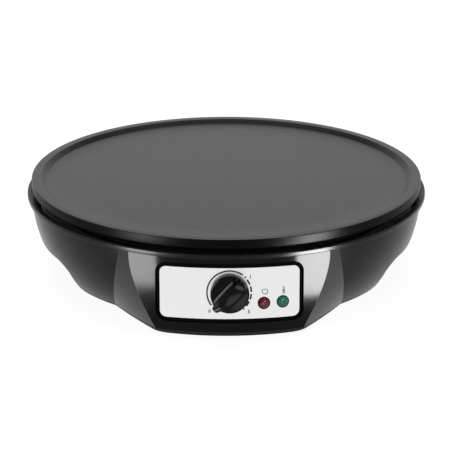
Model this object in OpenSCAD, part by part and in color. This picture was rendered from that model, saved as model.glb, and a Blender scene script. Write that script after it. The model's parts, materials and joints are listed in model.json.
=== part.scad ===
// Electric crepe maker: a cast griddle plate on a round moulded base, with a
// control pedestal at the front and a finger recess at each side.
// Millimetres, +Z up, front towards -Y. The Z axis is the plate's axis and
// z = 0 is the flat underside of the base; the rubber feet reach below it.

/* [Griddle plate] */
// Diameter of the cast plate
plate_d = 300; // [290:1:302]
// Height of the raised rim above the underside of the base
plate_top_z = 70; // [68:0.5:76]
// Height of the plate's outer edge
plate_edge_h = 8.5; // [7:0.5:9]
// Width of the flat rim round the cooking surface
rim_w = 7.2; // [4:0.2:12]
// Depth of the cooking surface below the rim
recess_h = 3; // [1:0.5:4]
// Width of the slope between the rim and the cooking surface
recess_slope_w = 3.6; // [1:0.2:8]
// Rounding of the edge's lower corner
plate_low_round = 2.4; // [0.5:0.1:3]
// Rounding of the edge's upper corner
plate_top_round = 0.9; // [0.3:0.1:1.5]

/* [Heating element] */
// Distance of the tube's ring from the plate's edge
element_in = 45; // [40:1:60]
// Diameter of the sheathed tube
tube_d = 8; // [6.5:0.5:8.5]
// Gap between the two ends of the ring, seen from its centre
element_gap = 26; // [20:1:60]
// Radius of the bends that turn the ends down
tube_bend_r = 10; // [9:0.5:12]
// Width of metal beside the groove in the plate's rib
rib_side_w = 3; // [2:0.5:5]
// Number of saddles that hold the tube in its groove
saddles = 4; // [3:1:5]

/* [Base housing] */
// Wall thickness of the moulding
wall = 2.6; // [2:0.1:3]
// Width of the step from the lip's edge in to the bowl
lip_step = 3.5; // [3.2:0.1:4]
// Height of that place
bowl_top_z = 55.5; // [54:0.5:56]
// Radius of the wall's upright curve
bowl_arc_r = 86; // [84:1:92]
// Reach of the lip beyond the plate's edge
lip_over = 3.5; // [2.8:0.1:6]
// Width of the lip's raised bead
lip_bead_w = 3; // [2:0.1:3.4]
// Thickness of the lip
lip_t = 3.6; // [2.8:0.1:3.8]
// Rounding of the lip's outer corners
lip_round = 0.7; // [0.4:0.1:0.9]
// Gap between the lip's top and the plate's edge
plate_gap = 2.1; // [2:0.1:3]

/* [Finger recesses] */
// Half the angle that a recess spans, seen from the axis
recess_half = 33.4; // [28:0.2:33.6]
// Depth of a recess, from the bowl's foot to its back wall
recess_depth = 22.7; // [18:0.1:28]
// Height of the recess's ceiling
recess_top_z = 25; // [22:0.5:26]
// Rounding of the recess's upper corners, seen from the side
recess_corner_r = 10; // [6:0.5:12]
// Half the width that this rounding ends at
recess_corner_y = 78; // [76:0.5:80]

/* [Pedestal] */
// Step from the lip's edge in to the front face's upper edge
face_step = 1.3; // [1:0.1:1.6]
// Outward lean of the front face, downwards
face_tilt = 5; // [3:0.5:7]
// Turn of the side flanks from straight sideways
flank_plan = 44.5; // [44:0.1:45]
// Slope of the flanks' bulge, which falls to the front
flank_fall = 24.5; // [23:0.5:26]
// Radius of the bulge, seen along it
flank_bulge_r = 98; // [94:1:102]
// Distance of its crest inside the front face's upper edge
flank_in = 6.6; // [6:0.1:7.2]
// Height of the crest over the axis
flank_crest_z = 60; // [58:0.5:62]
// Depth of the pedestal, from the lip's edge to where it ends inside the bowl
pedestal_depth = 78.5; // [75:0.1:81]

/* [Bottom cover] */
// Thickness of the cover
cover_t = 2.6; // [2.2:0.1:3]
// Radius of the pedestal's corners in the cover
cover_corner_r = 18; // [14:1:22]
// Step of the cover in from the housing's wall
cover_step = 0.4; // [0.2:0.1:0.8]
// Number of vent slots in each row
vents = 12; // [8:1:14]
// Width of a vent slot
vent_w = 3; // [2:0.2:4]
// Length of a vent slot
vent_l = 16; // [10:1:20]
// Radius of the inner row of vents
vent_row_r = 48; // [44:1:56]
// Distance between the two rows of vents
vent_row_step = 26; // [22:1:28]
// Radius of the label's shallow place in the middle
label_r = 36; // [30:1:38]
// Depth of that place
label_depth = 0.4; // [0.2:0.1:0.6]

/* [Feet and cover screws] */
// Distance of the feet inside the bowl's foot
foot_in = 17.7; // [15:0.1:22]
// Angle of the feet from the front and the back
foot_turn = 44; // [40:1:47]
// Diameter of a foot
foot_d = 17; // [14:0.5:18]
// Height of the feet below the cover
foot_h = 2; // [1.5:0.1:2.2]
// Distance of the cover's screws inside the bowl's foot
cover_screw_in = 7.7; // [7:0.1:9]
// Angle of the cover's screws from the front and the back
cover_screw_turn = 52; // [51:0.5:54]

/* [Control panel] */
// Height of the panel's centre
panel_z = 31.1; // [30:0.1:32]
// Width of the fascia
fascia_w = 98.6; // [90:0.2:100]
// Height of the fascia
fascia_h = 37.2; // [34:0.2:38]
// Radius of the fascia's corners
fascia_corner_r = 4.6; // [2:0.2:8]
// Thickness of the fascia
fascia_t = 0.8; // [0.5:0.1:1]
// Width of the dark channel round the fascia
channel_w = 3.1; // [2:0.1:3.3]
// Depth of that channel
channel_h = 1.5; // [1:0.1:2]
// Thickness of the panel frame's floor
frame_t = 1; // [0.8:0.1:1.4]
// Thickness of the pad behind the panel frame
pad_t = 5.2; // [4.6:0.1:5.6]

/* [Knob] */
// Height of the knob's axis at the front face
knob_z = 31.6; // [31:0.1:32]
// Diameter of the knob
knob_d = 27.4; // [24:0.2:29]
// Height of the knob
knob_h = 14; // [12:0.5:16]
// Height of the knob's disc beside the grip bar
knob_disc_h = 5.5; // [4.5:0.5:7]
// Width of the grip bar at its top
grip_w = 7.4; // [6:0.2:9]
// Slope of the grip bar's sides
grip_slope = 12; // [5:1:16]
// Direction of the pointer at rest, from straight right
pointer_angle = 225; // [215:1:235]
// Diameter of the shaft
shaft_d = 6; // [5.8:0.1:6.4]
// Depth of the shaft's flat
shaft_flat = 1.4; // [1:0.1:1.6]

/* [Lamps] */
// Height of the lamps on the front face
lamp_z = 23.5; // [22:0.5:25]
// Place of the red lamp, along the front face from its middle
red_x = 24.2; // [22:0.2:25]
// Place of the green lamp
green_x = 37.9; // [37:0.2:39]
// Diameter of a lens
lens_d = 7.6; // [7:0.1:8]
// Diameter of the ring under a lens
lens_ring_d = 9; // [8.6:0.1:9.6]

/* [Thermostat] */
// Width of the switch body
switch_w = 34; // [30:1:36]
// Height of the switch body
switch_h = 30; // [26:1:31]
// Depth of the switch body
switch_l = 20; // [16:1:24]
// Distance of the bracket behind the front face
bracket_back = 14; // [13:0.5:16]
// Thickness of sheet brackets and clips
sheet_t = 1.2; // [1:0.1:1.5]
// Radius of the sensing bulb
bulb_r = 2.6; // [2:0.1:3]
// Length of the sensing bulb
bulb_l = 56; // [40:1:64]

/* [Heat shield] */
// Height of the shield's flange
shield_z = 50; // [49:0.5:50.5]
// Thickness of the shield
shield_t = 0.8; // [0.6:0.1:1]
// Depth of the shield's dish below its flange
shield_dish = 3; // [2:0.5:4]
// Gap between the shield's edge and the bowl's wall
shield_side_gap = 3.2; // [2.4:0.1:5]
// Width of the shield's flange
shield_flange_w = 11; // [9:0.5:13]
// Angle of the shield's screws from the front and the back
shield_screw_turn = 45; // [40:1:50]

/* [Plate studs] */
// Number of studs that carry the plate
studs_n = 3; // [3:1:4]
// Distance of the studs inside the tube's ring
stud_in = 33; // [29:1:35]
// Diameter of the studs
stud_d = 5; // [4:0.5:6]

/* [Cord inlet] */
// Height of the inlet's centre
inlet_z = 15; // [14:0.5:16]
// Radius of the hole for the cord in the bush
inlet_r = 3.6; // [3:0.1:4]
// Wall thickness of the bush
bush_wall = 2.4; // [2:0.1:3]
// Length of the bush's sleeve
bush_l = 16; // [14:0.5:18]

/* [Fits] */
// Gap round fixed pieces that drop into a seat
seat_gap = 0.15; // [0.1:0.05:0.2]
// Radial gap of the turning shaft in its bearing
run_gap = 0.05; // [0.03:0.01:0.08]
// Gap between the knob and the fascia
knob_gap = 0.6; // [0.4:0.1:1]
// Radial gap of a screw in its thread
thread_gap = 0.05; // [0.03:0.01:0.08]

/* [Hidden] */
$fn = 96;

eps = 0.01;
far = 400;
front = -90;
side_angles = [0, 180];
foot_angles = [front - foot_turn, front + foot_turn, -front - foot_turn, -front + foot_turn];
cover_screw_angles = [
    front - cover_screw_turn, front + cover_screw_turn, -front - cover_screw_turn, -front + cover_screw_turn
];

// Radii, worked from the plate's edge: the base follows the plate
plate_r = plate_d / 2;
lip_r = plate_r + lip_over;
bowl_top_r = lip_r - lip_step;
// Centre of the wall's upright curve, level with its upper end
bowl_c = [bowl_top_r - bowl_arc_r, bowl_top_z];
bowl_foot_r = bowl_r(0);
face_top_r = lip_r - face_step;
flank_reach = face_top_r - flank_in;
pedestal_back = lip_r - pedestal_depth;
recess_back_r = bowl_foot_r - recess_depth;
foot_r = bowl_foot_r - foot_in;
cover_screw_r = bowl_foot_r - cover_screw_in;
element_r = plate_r - element_in;
stud_ring_r = element_r - stud_in;
shield_r = bowl_r(shield_z) - wall - shield_side_gap;

// Plate, worked from the rim down
plate_low_z = plate_top_z - plate_edge_h;
cook_z = plate_top_z - recess_h;
cook_wall_r = plate_r - rim_w;
tube_r = tube_d / 2;
tube_z = plate_low_z - tube_r - seat_gap;
rib_low_z = tube_z - 0.8;
lip_top_z = plate_low_z - plate_gap;
lip_low_z = lip_top_z - lip_t;
face_top_z = lip_low_z + 0.2;

// Skirt under the plate that keeps heat off the lip
skirt_r = shield_r - shield_flange_w - 1;
skirt_w = 3;
skirt_low_z = shield_z + shield_t + 1.2;

// Studs and their boss
boss_low_z = rib_low_z;
shield_floor_z = shield_z - shield_dish;
shield_holes = 10;
shield_hole_ring_r = 26;
stud_nut_h = 4;
stud_nut_w = 8;
stud_bite = 4;
stud_boss_r = 7;
spacer_r = 4.6;
stud_angles = [for (i = [0 : studs_n - 1]) 30 + i * 360 / studs_n];

// Small screws: one size of shank and head is used inside
screw_r = 1.5;
screw_head_r = 2.9;
screw_head_h = 2;
screw_boss_r = 4.5;
screw_hole_r = screw_r + thread_gap;
shield_screw_r = shield_r - shield_flange_w / 2;
shield_screw_l = 10;
shield_screw_angles = [
    front - shield_screw_turn, front + shield_screw_turn, -front - shield_screw_turn, -front + shield_screw_turn
];
cover_screw_l = 12;
cover_front_r = face_r(cover_t) - cover_step;

// Place on a flank's foot where the cover's corner begins, seen along the bulge
corner_run = 63;
corner_drop = flank_crest_z - corner_run * sin(flank_fall);
corner_out = sqrt(pow(flank_bulge_r - cover_step, 2) - pow(corner_drop, 2));
corner_slope = atan(sin(flank_fall) * corner_drop / corner_out);
corner_reach = (flank_reach - flank_bulge_r + corner_out) * cos(corner_slope) - corner_run * sin(corner_slope);
cover_boss_h = 16;

// Feet
foot_stem_r = 3.4;
foot_head_r = 4.6;
foot_head_h = 1.6;

// Panel
frame_w = fascia_w + 2 * channel_w;
frame_h = fascia_h + 2 * channel_w;
frame_corner_r = fascia_corner_r + channel_w;
pad_side = 3;
pad_rim = 0.7;
fascia_front = 0.2;
fascia_back = fascia_front + fascia_t;
clip_post_r = 1.6;
clip_x = fascia_w / 2 - 7;
clip_y = 5;
clip_posts = [[-clip_x, clip_y], [clip_x, clip_y]];
clip_r = 4;
knob_base = knob_gap - fascia_front;
collar_r = shaft_d / 2 + 1.8;
collar_hole_r = collar_r + seat_gap;
lens_r = lens_d / 2;
lens_stem_r = lens_r - 0.7;
lens_hole_r = lens_stem_r + seat_gap;
lens_stem_l = 10;
lens_bore_r = lens_stem_r - 0.9;
lens_ring_h = 0.4;
neon_r = lens_bore_r - seat_gap;
lamp_clip_r = lens_stem_r + 2;

// Thermostat, placed along the knob's axis behind the front face
bracket_w = 62;
bracket_h = 16;
bracket_post_x = 25;
bracket_post_y = 5;
switch_front = bracket_back + sheet_t;
switch_back = switch_front + switch_l;
tab_x = 9;
tab_y = 4 - switch_h / 2;
tab_l = 8;
shaft_tip = knob_base + knob_h - 4;
shaft_tail = switch_front + switch_l - 5;
nut_w = 11;
nut_h = 2.5;
bulb_x = 34;
bulb_y = -20;
bulb_z = plate_low_z - bulb_r - seat_gap;
capillary_r = 0.9;
bulb_clip_reach = bulb_r + 8.5;
bulb_clip_screw_x = bulb_clip_reach - screw_head_r - 0.6;
plate_screw_bite = 3.4;

// Element ends, at the back
element_ends = [90 - element_gap / 2, 90 + element_gap / 2];
tube_leg_l = 8;
pin_r = 1.3;
pin_l = 12;
pin_tab_l = 5;
tab_w = 6.3;
tab_t = 0.8;
pin_top_z = tube_z - tube_bend_r - tube_leg_l;
insulator_r = 3.4;
insulator_h = 4;
saddle_w = 12;
saddle_reach = tube_r + rib_side_w + 4.5;

// Inlet
bush_r = inlet_r + bush_wall;
bush_flange_r = bush_r + 2.4;
bush_flange_t = 2;
inlet_boss_r = bush_flange_r + 3;
inlet_face_y = bowl_r(inlet_z) + 1.5;
block_y = inlet_face_y - 49.4;
block_w = 34;
block_l = 16;
block_h = 14;
earth_x = -38;
lead_r = 1.1;
wire_z = cover_t + block_h - 6;
earth_y = 34;
fuse_r = 3;
fuse_l = 24;
fuse_pin_l = 8;
fuse_x = -14;
fuse_y = 60;
fuse_z = shield_floor_z - fuse_r - seat_gap;
fuse_clip_reach = fuse_r + 8;
rivet_r = 1.2;
rivet_head_r = 2.4;
pin_turn = atan(tube_bend_r / element_r);
pin_ring_r = norm([element_r, tube_bend_r]);
pin_end_z = pin_top_z - pin_l - pin_tab_l - lead_r - seat_gap;

// ---- Rules of the outer shape ----

// Radius of the pedestal's front face at a height
function face_r(z) = face_top_r + (face_top_z - z) * tan(face_tilt);

// Outer radius of the bowl at a height
function bowl_r(z) = bowl_c[0] + sqrt(pow(bowl_arc_r, 2) - pow(bowl_c[1] - z, 2));

// Point behind the front face, measured from the knob's axis
function knob_point(x, y, back) = [
    x, back * cos(face_tilt) + y * sin(face_tilt) - face_r(knob_z),
    knob_z - back * sin(face_tilt) + y * cos(face_tilt)
];

// Children round the axis, at a list of angles
module at_ring(angles, r) {
    for (a = angles)
        rotate([0, 0, a])
            translate([r, 0, 0])
                children();
}

// Puts children on the front face: their Z is its outward normal there
module on_face(x, z) {
    rotate([0, 0, x * 180 / PI / face_r(z)])
        translate([0, -face_r(z), z])
            rotate([90 - face_tilt, 0, 0])
                children();
}

// Rectangle with round corners, centred
module round_rect(w, h, r) {
    square([w - 2 * r, h], center = true);
    square([w, h - 2 * r], center = true);
    for (x = [-1, 1], y = [-1, 1])
        translate([x * (w / 2 - r), y * (h / 2 - r)])
            circle(r);
}

// Half section of a disc with round lower and upper corners
module disc_section(r, z0, z1, low, high) {
    translate([0, z0])
        square([r - max(low, high), z1 - z0]);
    translate([0, z0 + low])
        square([r, z1 - z0 - low - high]);
    translate([0, z0])
        square([r - low, low + eps]);
    translate([0, z1 - high - eps])
        square([r - high, high + eps]);
    translate([r - low, z0 + low])
        circle(low);
    translate([r - high, z1 - high])
        circle(high);
}

// Half section of the bowl, moved inwards by an inset
module bowl_section(inset, top) {
    intersection() {
        union() {
            translate(bowl_c)
                circle(bowl_arc_r - inset, $fn = 240);
            square([bowl_c[0], far]);
        }
        square([far, top]);
    }
}

// Solid of the pedestal, moved inwards by an inset
module pedestal(inset) {
    top = face_top_z - inset;
    intersection() {
        cylinder(h = top, r1 = face_r(0) - inset, r2 = face_r(top) - inset, $fn = 240);
        translate([-far, -far, 0])
            cube([2 * far, far - pedestal_back, far]);
        flank_side(inset);
        mirror([1, 0, 0])
            flank_side(inset);
    }
}

// What lies inside the right flank: a bulge whose crest falls to the front
module flank_side(inset) {
    rotate([0, 0, -flank_plan])
        rotate([flank_fall, 0, 0])
            translate([flank_reach - flank_bulge_r, 0, flank_crest_z])
                rotate([90, 0, 0])
                    cylinder(h = 2 * far, r = flank_bulge_r - inset, center = true, $fn = 240);
}

// Space of the two finger recesses, grown by a wall
module finger_recesses(grow) {
    turn = asin(grow / recess_back_r);
    intersection() {
        for (a = side_angles)
            rotate([0, 0, a - recess_half - turn])
                rotate_extrude(angle = 2 * (recess_half + turn))
                    translate([recess_back_r - grow, -1])
                        square([far, recess_top_z + grow + 1]);
        rotate([90, 0, 90])
            linear_extrude(2 * far, center = true)
                recess_arch(grow);
    }
}

// Outline of a recess, seen from the side, with round upper corners
module recess_arch(grow) {
    w = recess_corner_y + grow;
    r = recess_corner_r + grow;
    translate([-w, -2])
        square([2 * w, recess_top_z + grow - r + 2]);
    translate([r - w, -2])
        square([2 * (w - r), recess_top_z + grow + 2]);
    for (s = [-1, 1])
        translate([s * (w - r), recess_top_z + grow - r])
            circle(r);
}

// Block of the front wall between two depths, of a rounded outline
module face_block(w, h, r, near, deep) {
    intersection() {
        on_face(0, panel_z)
            linear_extrude(60, center = true)
                round_rect(w, h, r);
        difference() {
            face_cone(near);
            face_cone(deep);
        }
    }
}

// Cone of the front face, moved inwards by a depth
module face_cone(depth) {
    cylinder(h = face_top_z + 10, r1 = face_r(0) - depth, r2 = face_r(face_top_z + 10) - depth, $fn = 240);
}

// Screw with a pan head; its tip points to +Z and its head sits below z = 0
module pan_screw(l, r = screw_r, head_r = screw_head_r, head_h = screw_head_h) {
    cylinder(h = l, r = r);
    difference() {
        translate([0, 0, -head_h])
            cylinder(h = head_h, r = head_r);
        for (a = [0, 90])
            rotate([0, 0, a])
                translate([-head_r * 0.6, -0.35, -head_h - eps])
                    cube([head_r * 1.2, 0.7, head_h / 2]);
    }
}

// Round lead that follows a list of points
module lead(points, r = lead_r) {
    for (i = [0 : len(points) - 2])
        hull() {
            translate(points[i])
                sphere(r, $fn = 10);
            translate(points[i + 1])
                sphere(r, $fn = 10);
        }
}

// Sheet strap, open to +Z, that holds a round piece lying along Y under the plane z = 0
module strap(r, l, reach) {
    rotate([90, 0, 0])
        linear_extrude(l, center = true)
            difference() {
                union() {
                    translate([0, -r])
                        circle(r + sheet_t);
                    translate([-r - sheet_t, -r])
                        square([2 * (r + sheet_t), r]);
                    translate([-reach, -sheet_t])
                        square([2 * reach, sheet_t]);
                }
                translate([0, -r])
                    circle(r);
                translate([-r, -r])
                    square([2 * r, 2 * r]);
                translate([-far, 0])
                    square([2 * far, far]);
            }
}

// ---- Plate and heating ----

module griddle_plate() {
    color("#3c3c3e")
        difference() {
            union() {
                rotate_extrude($fn = 240)
                    intersection() {
                        disc_section(plate_r, plate_low_z, plate_top_z, plate_low_round, plate_top_round);
                        square([far, far]);
                    }
                under_ring(element_r - tube_r - rib_side_w, element_r + tube_r + rib_side_w, rib_low_z);
                under_ring(skirt_r - skirt_w, skirt_r, skirt_low_z);
                at_ring(stud_angles, stud_ring_r)
                    translate([0, 0, boss_low_z])
                        cylinder(h = plate_low_z - boss_low_z + 1, r = stud_boss_r);
                saddle_places()
                    translate([0, 0, rib_low_z])
                        cylinder(h = plate_low_z - rib_low_z + 1, r = screw_boss_r);
            }
            rotate_extrude($fn = 240)
                polygon([
                    [0, cook_z], [cook_wall_r - recess_slope_w, cook_z],
                    [cook_wall_r, plate_top_z], [cook_wall_r, plate_top_z + 1], [0, plate_top_z + 1]
                ]);
            translate([0, 0, tube_z])
                rotate_extrude()
                    translate([element_r, 0])
                        circle(tube_r + seat_gap);
            at_ring(stud_angles, stud_ring_r)
                translate([0, 0, boss_low_z - 1])
                    cylinder(h = stud_bite + 1, r = stud_d / 2 + thread_gap);
            saddle_places()
                translate([0, 0, rib_low_z - 1])
                    cylinder(h = plate_screw_bite + 1.5, r = screw_hole_r);
            bulb_clip_places()
                translate([0, 0, plate_low_z - 1])
                    cylinder(h = plate_screw_bite + 1.5, r = screw_hole_r);
        }
}

// Ring cast under the plate, between two radii and down to a height
module under_ring(r0, r1, low) {
    rotate_extrude($fn = 240)
        translate([r0, low])
            square([r1 - r0, plate_low_z - low + 1]);
}

// Places of the saddles' screws, inside and outside the groove
module saddle_places() {
    for (i = [0 : saddles - 1], s = [-1, 1])
        rotate([0, 0, front + 45 + i * 360 / saddles])
            translate([element_r + s * saddle_reach, 0, 0])
                children();
}

module heating_element() {
    color("#8a8a8c") {
        translate([0, 0, tube_z])
            rotate([0, 0, element_ends[1]])
                rotate_extrude(angle = 360 - element_gap)
                    translate([element_r, 0])
                        circle(tube_r);
        for (a = element_ends)
            rotate([0, 0, a])
                translate([element_r, 0, tube_z])
                    sphere(tube_r + run_gap);
        element_end(element_ends[0], 1);
        element_end(element_ends[1], -1);
    }
}

// Bend and leg that take one end of the tube down through the shield
module element_end(turn, way) {
    rotate([0, 0, turn])
        translate([element_r, 0, tube_z]) {
            translate([0, 0, -tube_bend_r])
                rotate([0, -90, 0])
                    rotate([0, 0, way > 0 ? 0 : -90])
                        rotate_extrude(angle = 90)
                            translate([tube_bend_r, 0])
                                circle(tube_r);
            translate([0, way * tube_bend_r, -tube_bend_r - tube_leg_l])
                cylinder(h = tube_leg_l, r = tube_r);
        }
}

// Puts children under the two ends of the tube
module under_ends() {
    for (i = [0, 1])
        rotate([0, 0, element_ends[i]])
            translate([element_r, (i == 0 ? 1 : -1) * tube_bend_r, pin_top_z])
                children();
}

module element_pins() {
    color("#b9b9bb")
        under_ends()
            translate([0, 0, -pin_l]) {
                cylinder(h = pin_l, r = pin_r);
                translate([-tab_w / 2, -tab_t / 2, -pin_tab_l])
                    cube([tab_w, tab_t, pin_tab_l + 1]);
            }
}

module element_insulators() {
    color("#e8e4da")
        under_ends()
            translate([0, 0, -insulator_h])
                difference() {
                    cylinder(h = insulator_h, r = insulator_r);
                    translate([0, 0, -1])
                        cylinder(h = insulator_h + 2, r = pin_r + seat_gap);
                }
}

module element_saddles() {
    plate_w = 2 * saddle_reach + 8;
    color("#9c9c9e")
        for (i = [0 : saddles - 1])
            rotate([0, 0, front + 45 + i * 360 / saddles])
                translate([element_r, 0, rib_low_z])
                    difference() {
                        union() {
                            translate([-plate_w / 2, -saddle_w / 2, -sheet_t])
                                cube([plate_w, saddle_w, sheet_t]);
                            rotate([90, 0, 0])
                                translate([0, tube_z - rib_low_z, 0])
                                    cylinder(h = saddle_w, r = tube_r + seat_gap + sheet_t, center = true);
                        }
                        rotate([90, 0, 0])
                            translate([0, tube_z - rib_low_z, 0])
                                cylinder(h = saddle_w + 2, r = tube_r + 2 * seat_gap, center = true);
                        translate([-far / 2, -far / 2, 0])
                            cube([far, far, far]);
                        for (s = [-1, 1])
                            translate([s * saddle_reach, 0, -sheet_t - 1])
                                cylinder(h = sheet_t + 2, r = screw_r + seat_gap);
                    }
}

module plate_screws() {
    color("#c4c4c6") {
        saddle_places()
            translate([0, 0, rib_low_z - sheet_t])
                pan_screw(plate_screw_bite + sheet_t);
        bulb_clip_places()
            translate([0, 0, plate_low_z - sheet_t])
                pan_screw(plate_screw_bite + sheet_t);
    }
}

module plate_studs() {
    low = shield_floor_z - stud_nut_h - 3;
    color("#b4b4b6")
        at_ring(stud_angles, stud_ring_r)
            translate([0, 0, low])
                cylinder(h = boss_low_z + stud_bite - 0.3 - low, r = stud_d / 2);
}

module stud_spacers() {
    low = shield_floor_z + shield_t;
    color("#e6e1d4")
        at_ring(stud_angles, stud_ring_r)
            translate([0, 0, low])
                difference() {
                    cylinder(h = boss_low_z - low, r = spacer_r);
                    translate([0, 0, -1])
                        cylinder(h = boss_low_z - low + 2, r = stud_d / 2 + seat_gap);
                }
}

module stud_nuts() {
    color("#c0c0c2")
        at_ring(stud_angles, stud_ring_r)
            translate([0, 0, shield_floor_z - stud_nut_h])
                difference() {
                    cylinder(h = stud_nut_h, d = stud_nut_w / cos(30), $fn = 6);
                    translate([0, 0, -1])
                        cylinder(h = stud_nut_h + 2, r = stud_d / 2 + thread_gap);
                }
}

module heat_shield() {
    dish_r = shield_r - shield_flange_w;
    slope_w = 4;
    color("#c9cacc")
        difference() {
            rotate_extrude($fn = 180)
                polygon([
                    [0, shield_floor_z], [dish_r - slope_w, shield_floor_z], [dish_r, shield_z],
                    [shield_r, shield_z], [shield_r, shield_z + shield_t],
                    [dish_r - shield_t / 2, shield_z + shield_t],
                    [dish_r - slope_w - shield_t / 2, shield_floor_z + shield_t],
                    [0, shield_floor_z + shield_t]
                ]);
            at_ring(stud_angles, stud_ring_r)
                translate([0, 0, shield_floor_z - 1])
                    cylinder(h = 4, r = stud_d / 2 + seat_gap);
            at_ring(shield_screw_angles, shield_screw_r)
                translate([0, 0, shield_z - 1])
                    cylinder(h = 4, r = screw_r + seat_gap);
            under_ends()
                cylinder(h = tube_leg_l + 2, r = tube_r + 1);
            translate([bulb_x, bulb_y - bulb_l / 2 - 8, shield_floor_z - 1])
                cylinder(h = 4, r = capillary_r + 1);
            rivet_places()
                translate([0, 0, -1])
                    cylinder(h = 4, r = rivet_r + seat_gap);
            for (i = [0 : shield_holes - 1])
                rotate([0, 0, (i + 0.5) * 360 / shield_holes])
                    translate([shield_hole_ring_r, 0, shield_floor_z - 1])
                        cylinder(h = 4, r = 3);
        }
}

module shield_screws() {
    color("#c4c4c6")
        at_ring(shield_screw_angles, shield_screw_r)
            translate([0, 0, shield_z + shield_t])
                mirror([0, 0, 1])
                    pan_screw(shield_screw_l);
}

// ---- Base ----

module base_housing() {
    color("#161617")
        difference() {
            union() {
                base_skin();
                base_bosses();
                face_block(frame_w + 2 * pad_side, frame_h + 2 * pad_rim, frame_corner_r + pad_rim, eps, pad_t);
            }
            face_block(frame_w, frame_h, frame_corner_r, -1, channel_h + frame_t + seat_gap);
            panel_holes(seat_gap);
            at_ring(shield_screw_angles, shield_screw_r)
                translate([0, 0, shield_z - shield_screw_l - 1])
                    cylinder(h = shield_screw_l + 2, r = screw_hole_r);
            at_ring(cover_screw_angles, cover_screw_r)
                translate([0, 0, cover_t - 1])
                    cylinder(h = cover_screw_l + 2, r = screw_hole_r);
            bracket_post_places()
                translate([0, 0, -bracket_back - 1])
                    cylinder(h = 6, r = screw_hole_r);
            translate([0, far / 2, inlet_z])
                rotate([90, 0, 0])
                    cylinder(h = far / 2, r = bush_r + seat_gap);
            translate([0, inlet_face_y, inlet_z])
                rotate([-90, 0, 0])
                    cylinder(h = 20, r = bush_flange_r + 0.6);
        }
}

// Outer walls: bowl, pedestal, lip and the walls round the recesses
module base_skin() {
    difference() {
        union() {
            rotate_extrude($fn = 240)
                bowl_section(0, bowl_top_z);
            pedestal(0);
            lip();
        }
        difference() {
            union() {
                rotate_extrude($fn = 240)
                    bowl_section(wall, face_top_z + eps);
                pedestal(wall);
            }
            finger_recesses(wall);
        }
        finger_recesses(0);
        translate([-far, -far, -1])
            cube([2 * far, 2 * far, cover_t + 1]);
    }
}

// Lip under the plate, with a bead that stands up at its rim and a neck down to the bowl
module lip() {
    neck_r = bowl_top_r - 0.3;
    neck_t = wall - 0.8;
    rotate_extrude($fn = 240)
        difference() {
            union() {
                disc_section(lip_r, lip_low_z, lip_top_z, lip_round, lip_round);
                translate([0, bowl_top_z - 1])
                    square([neck_r, lip_low_z - bowl_top_z + 1.2]);
            }
            translate([-far, 0])
                square([far + neck_r - neck_t, far]);
            translate([0, lip_top_z - lip_t / 2])
                square([lip_r - lip_bead_w, far]);
        }
}

// Bosses inside the housing, trimmed to its outer shape
module base_bosses() {
    intersection() {
        rotate_extrude($fn = 240)
            bowl_section(wall / 2, bowl_top_z);
        union() {
            at_ring(shield_screw_angles, shield_screw_r)
                translate([0, 0, recess_top_z + wall / 2]) {
                    cylinder(h = shield_z - recess_top_z - wall / 2, r = screw_boss_r);
                    translate([0, -1, 0])
                        cube([30, 2, shield_z - recess_top_z - wall / 2]);
                }
            at_ring(cover_screw_angles, cover_screw_r)
                translate([0, 0, cover_t]) {
                    cylinder(h = cover_boss_h, r = screw_boss_r);
                    translate([0, -1, 0])
                        cube([30, 2, cover_boss_h]);
                }
        }
    }
    bracket_posts();
    inlet_boss();
}

// Posts behind the front wall that the thermostat's bracket is screwed to
module bracket_posts() {
    intersection() {
        bracket_post_places()
            translate([0, 0, -bracket_back])
                cylinder(h = bracket_back, r = screw_boss_r);
        face_cone(wall / 2);
    }
}

module bracket_post_places() {
    for (s = [-1, 1])
        on_face(0, knob_z)
            translate([s * bracket_post_x, bracket_post_y, 0])
                children();
}

// Flat round boss on the rear wall that the cord's bush sits in
module inlet_boss() {
    intersection() {
        translate([0, inlet_face_y, inlet_z])
            rotate([90, 0, 0])
                cylinder(h = bush_l - 2, r = inlet_boss_r);
        translate([-far, 0, cover_t])
            cube([2 * far, far, far]);
    }
}

// Holes for the shaft's collar, the lamps and the fascia's clips
module panel_holes(gap) {
    on_face(0, knob_z)
        cylinder(h = 60, r = collar_r + gap, center = true);
    for (x = [red_x, green_x])
        on_face(x, lamp_z)
            cylinder(h = 30, r = lens_stem_r + gap, center = true);
    for (p = clip_posts)
        on_face(p[0], panel_z + p[1])
            cylinder(h = 30, r = clip_post_r + gap, center = true);
}

// Body of the cover: the foot of the bowl and of the pedestal, a step further in
module foot_body() {
    difference() {
        intersection() {
            union() {
                rotate_extrude($fn = 240)
                    bowl_section(cover_step, bowl_top_z);
                difference() {
                    pedestal(cover_step);
                    for (m = [0, 1])
                        mirror([m, 0, 0])
                            translate([0, 0, -1])
                                linear_extrude(cover_t + 2)
                                    corner_waste();
                }
            }
            cylinder(h = cover_t, r = far);
        }
        translate([0, 0, -1])
            linear_extrude(cover_t + 2)
                for (a = side_angles)
                    rotate([0, 0, a])
                        recess_outline();
    }
}

// What a round corner leaves out between a flank's foot and the front arc
module corner_waste() {
    plan = flank_plan - corner_slope;
    turn = plan + acos((corner_reach - cover_corner_r) / (cover_front_r - cover_corner_r));
    out_flank = 2 * cover_corner_r * [cos(plan), -sin(plan)];
    out_arc = 2 * cover_corner_r * [cos(turn), -sin(turn)];
    translate((cover_front_r - cover_corner_r) * [cos(turn), -sin(turn)])
        difference() {
            polygon([[0, 0], out_flank, out_flank + out_arc, out_arc]);
            circle(cover_corner_r);
        }
}

// Plan of one finger recess
module recess_outline() {
    difference() {
        rotate([0, 0, -recess_half])
            square([far, far]);
        rotate([0, 0, recess_half])
            translate([-far / 2, 0])
                square([2 * far, far]);
        circle(recess_back_r);
    }
}

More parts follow.
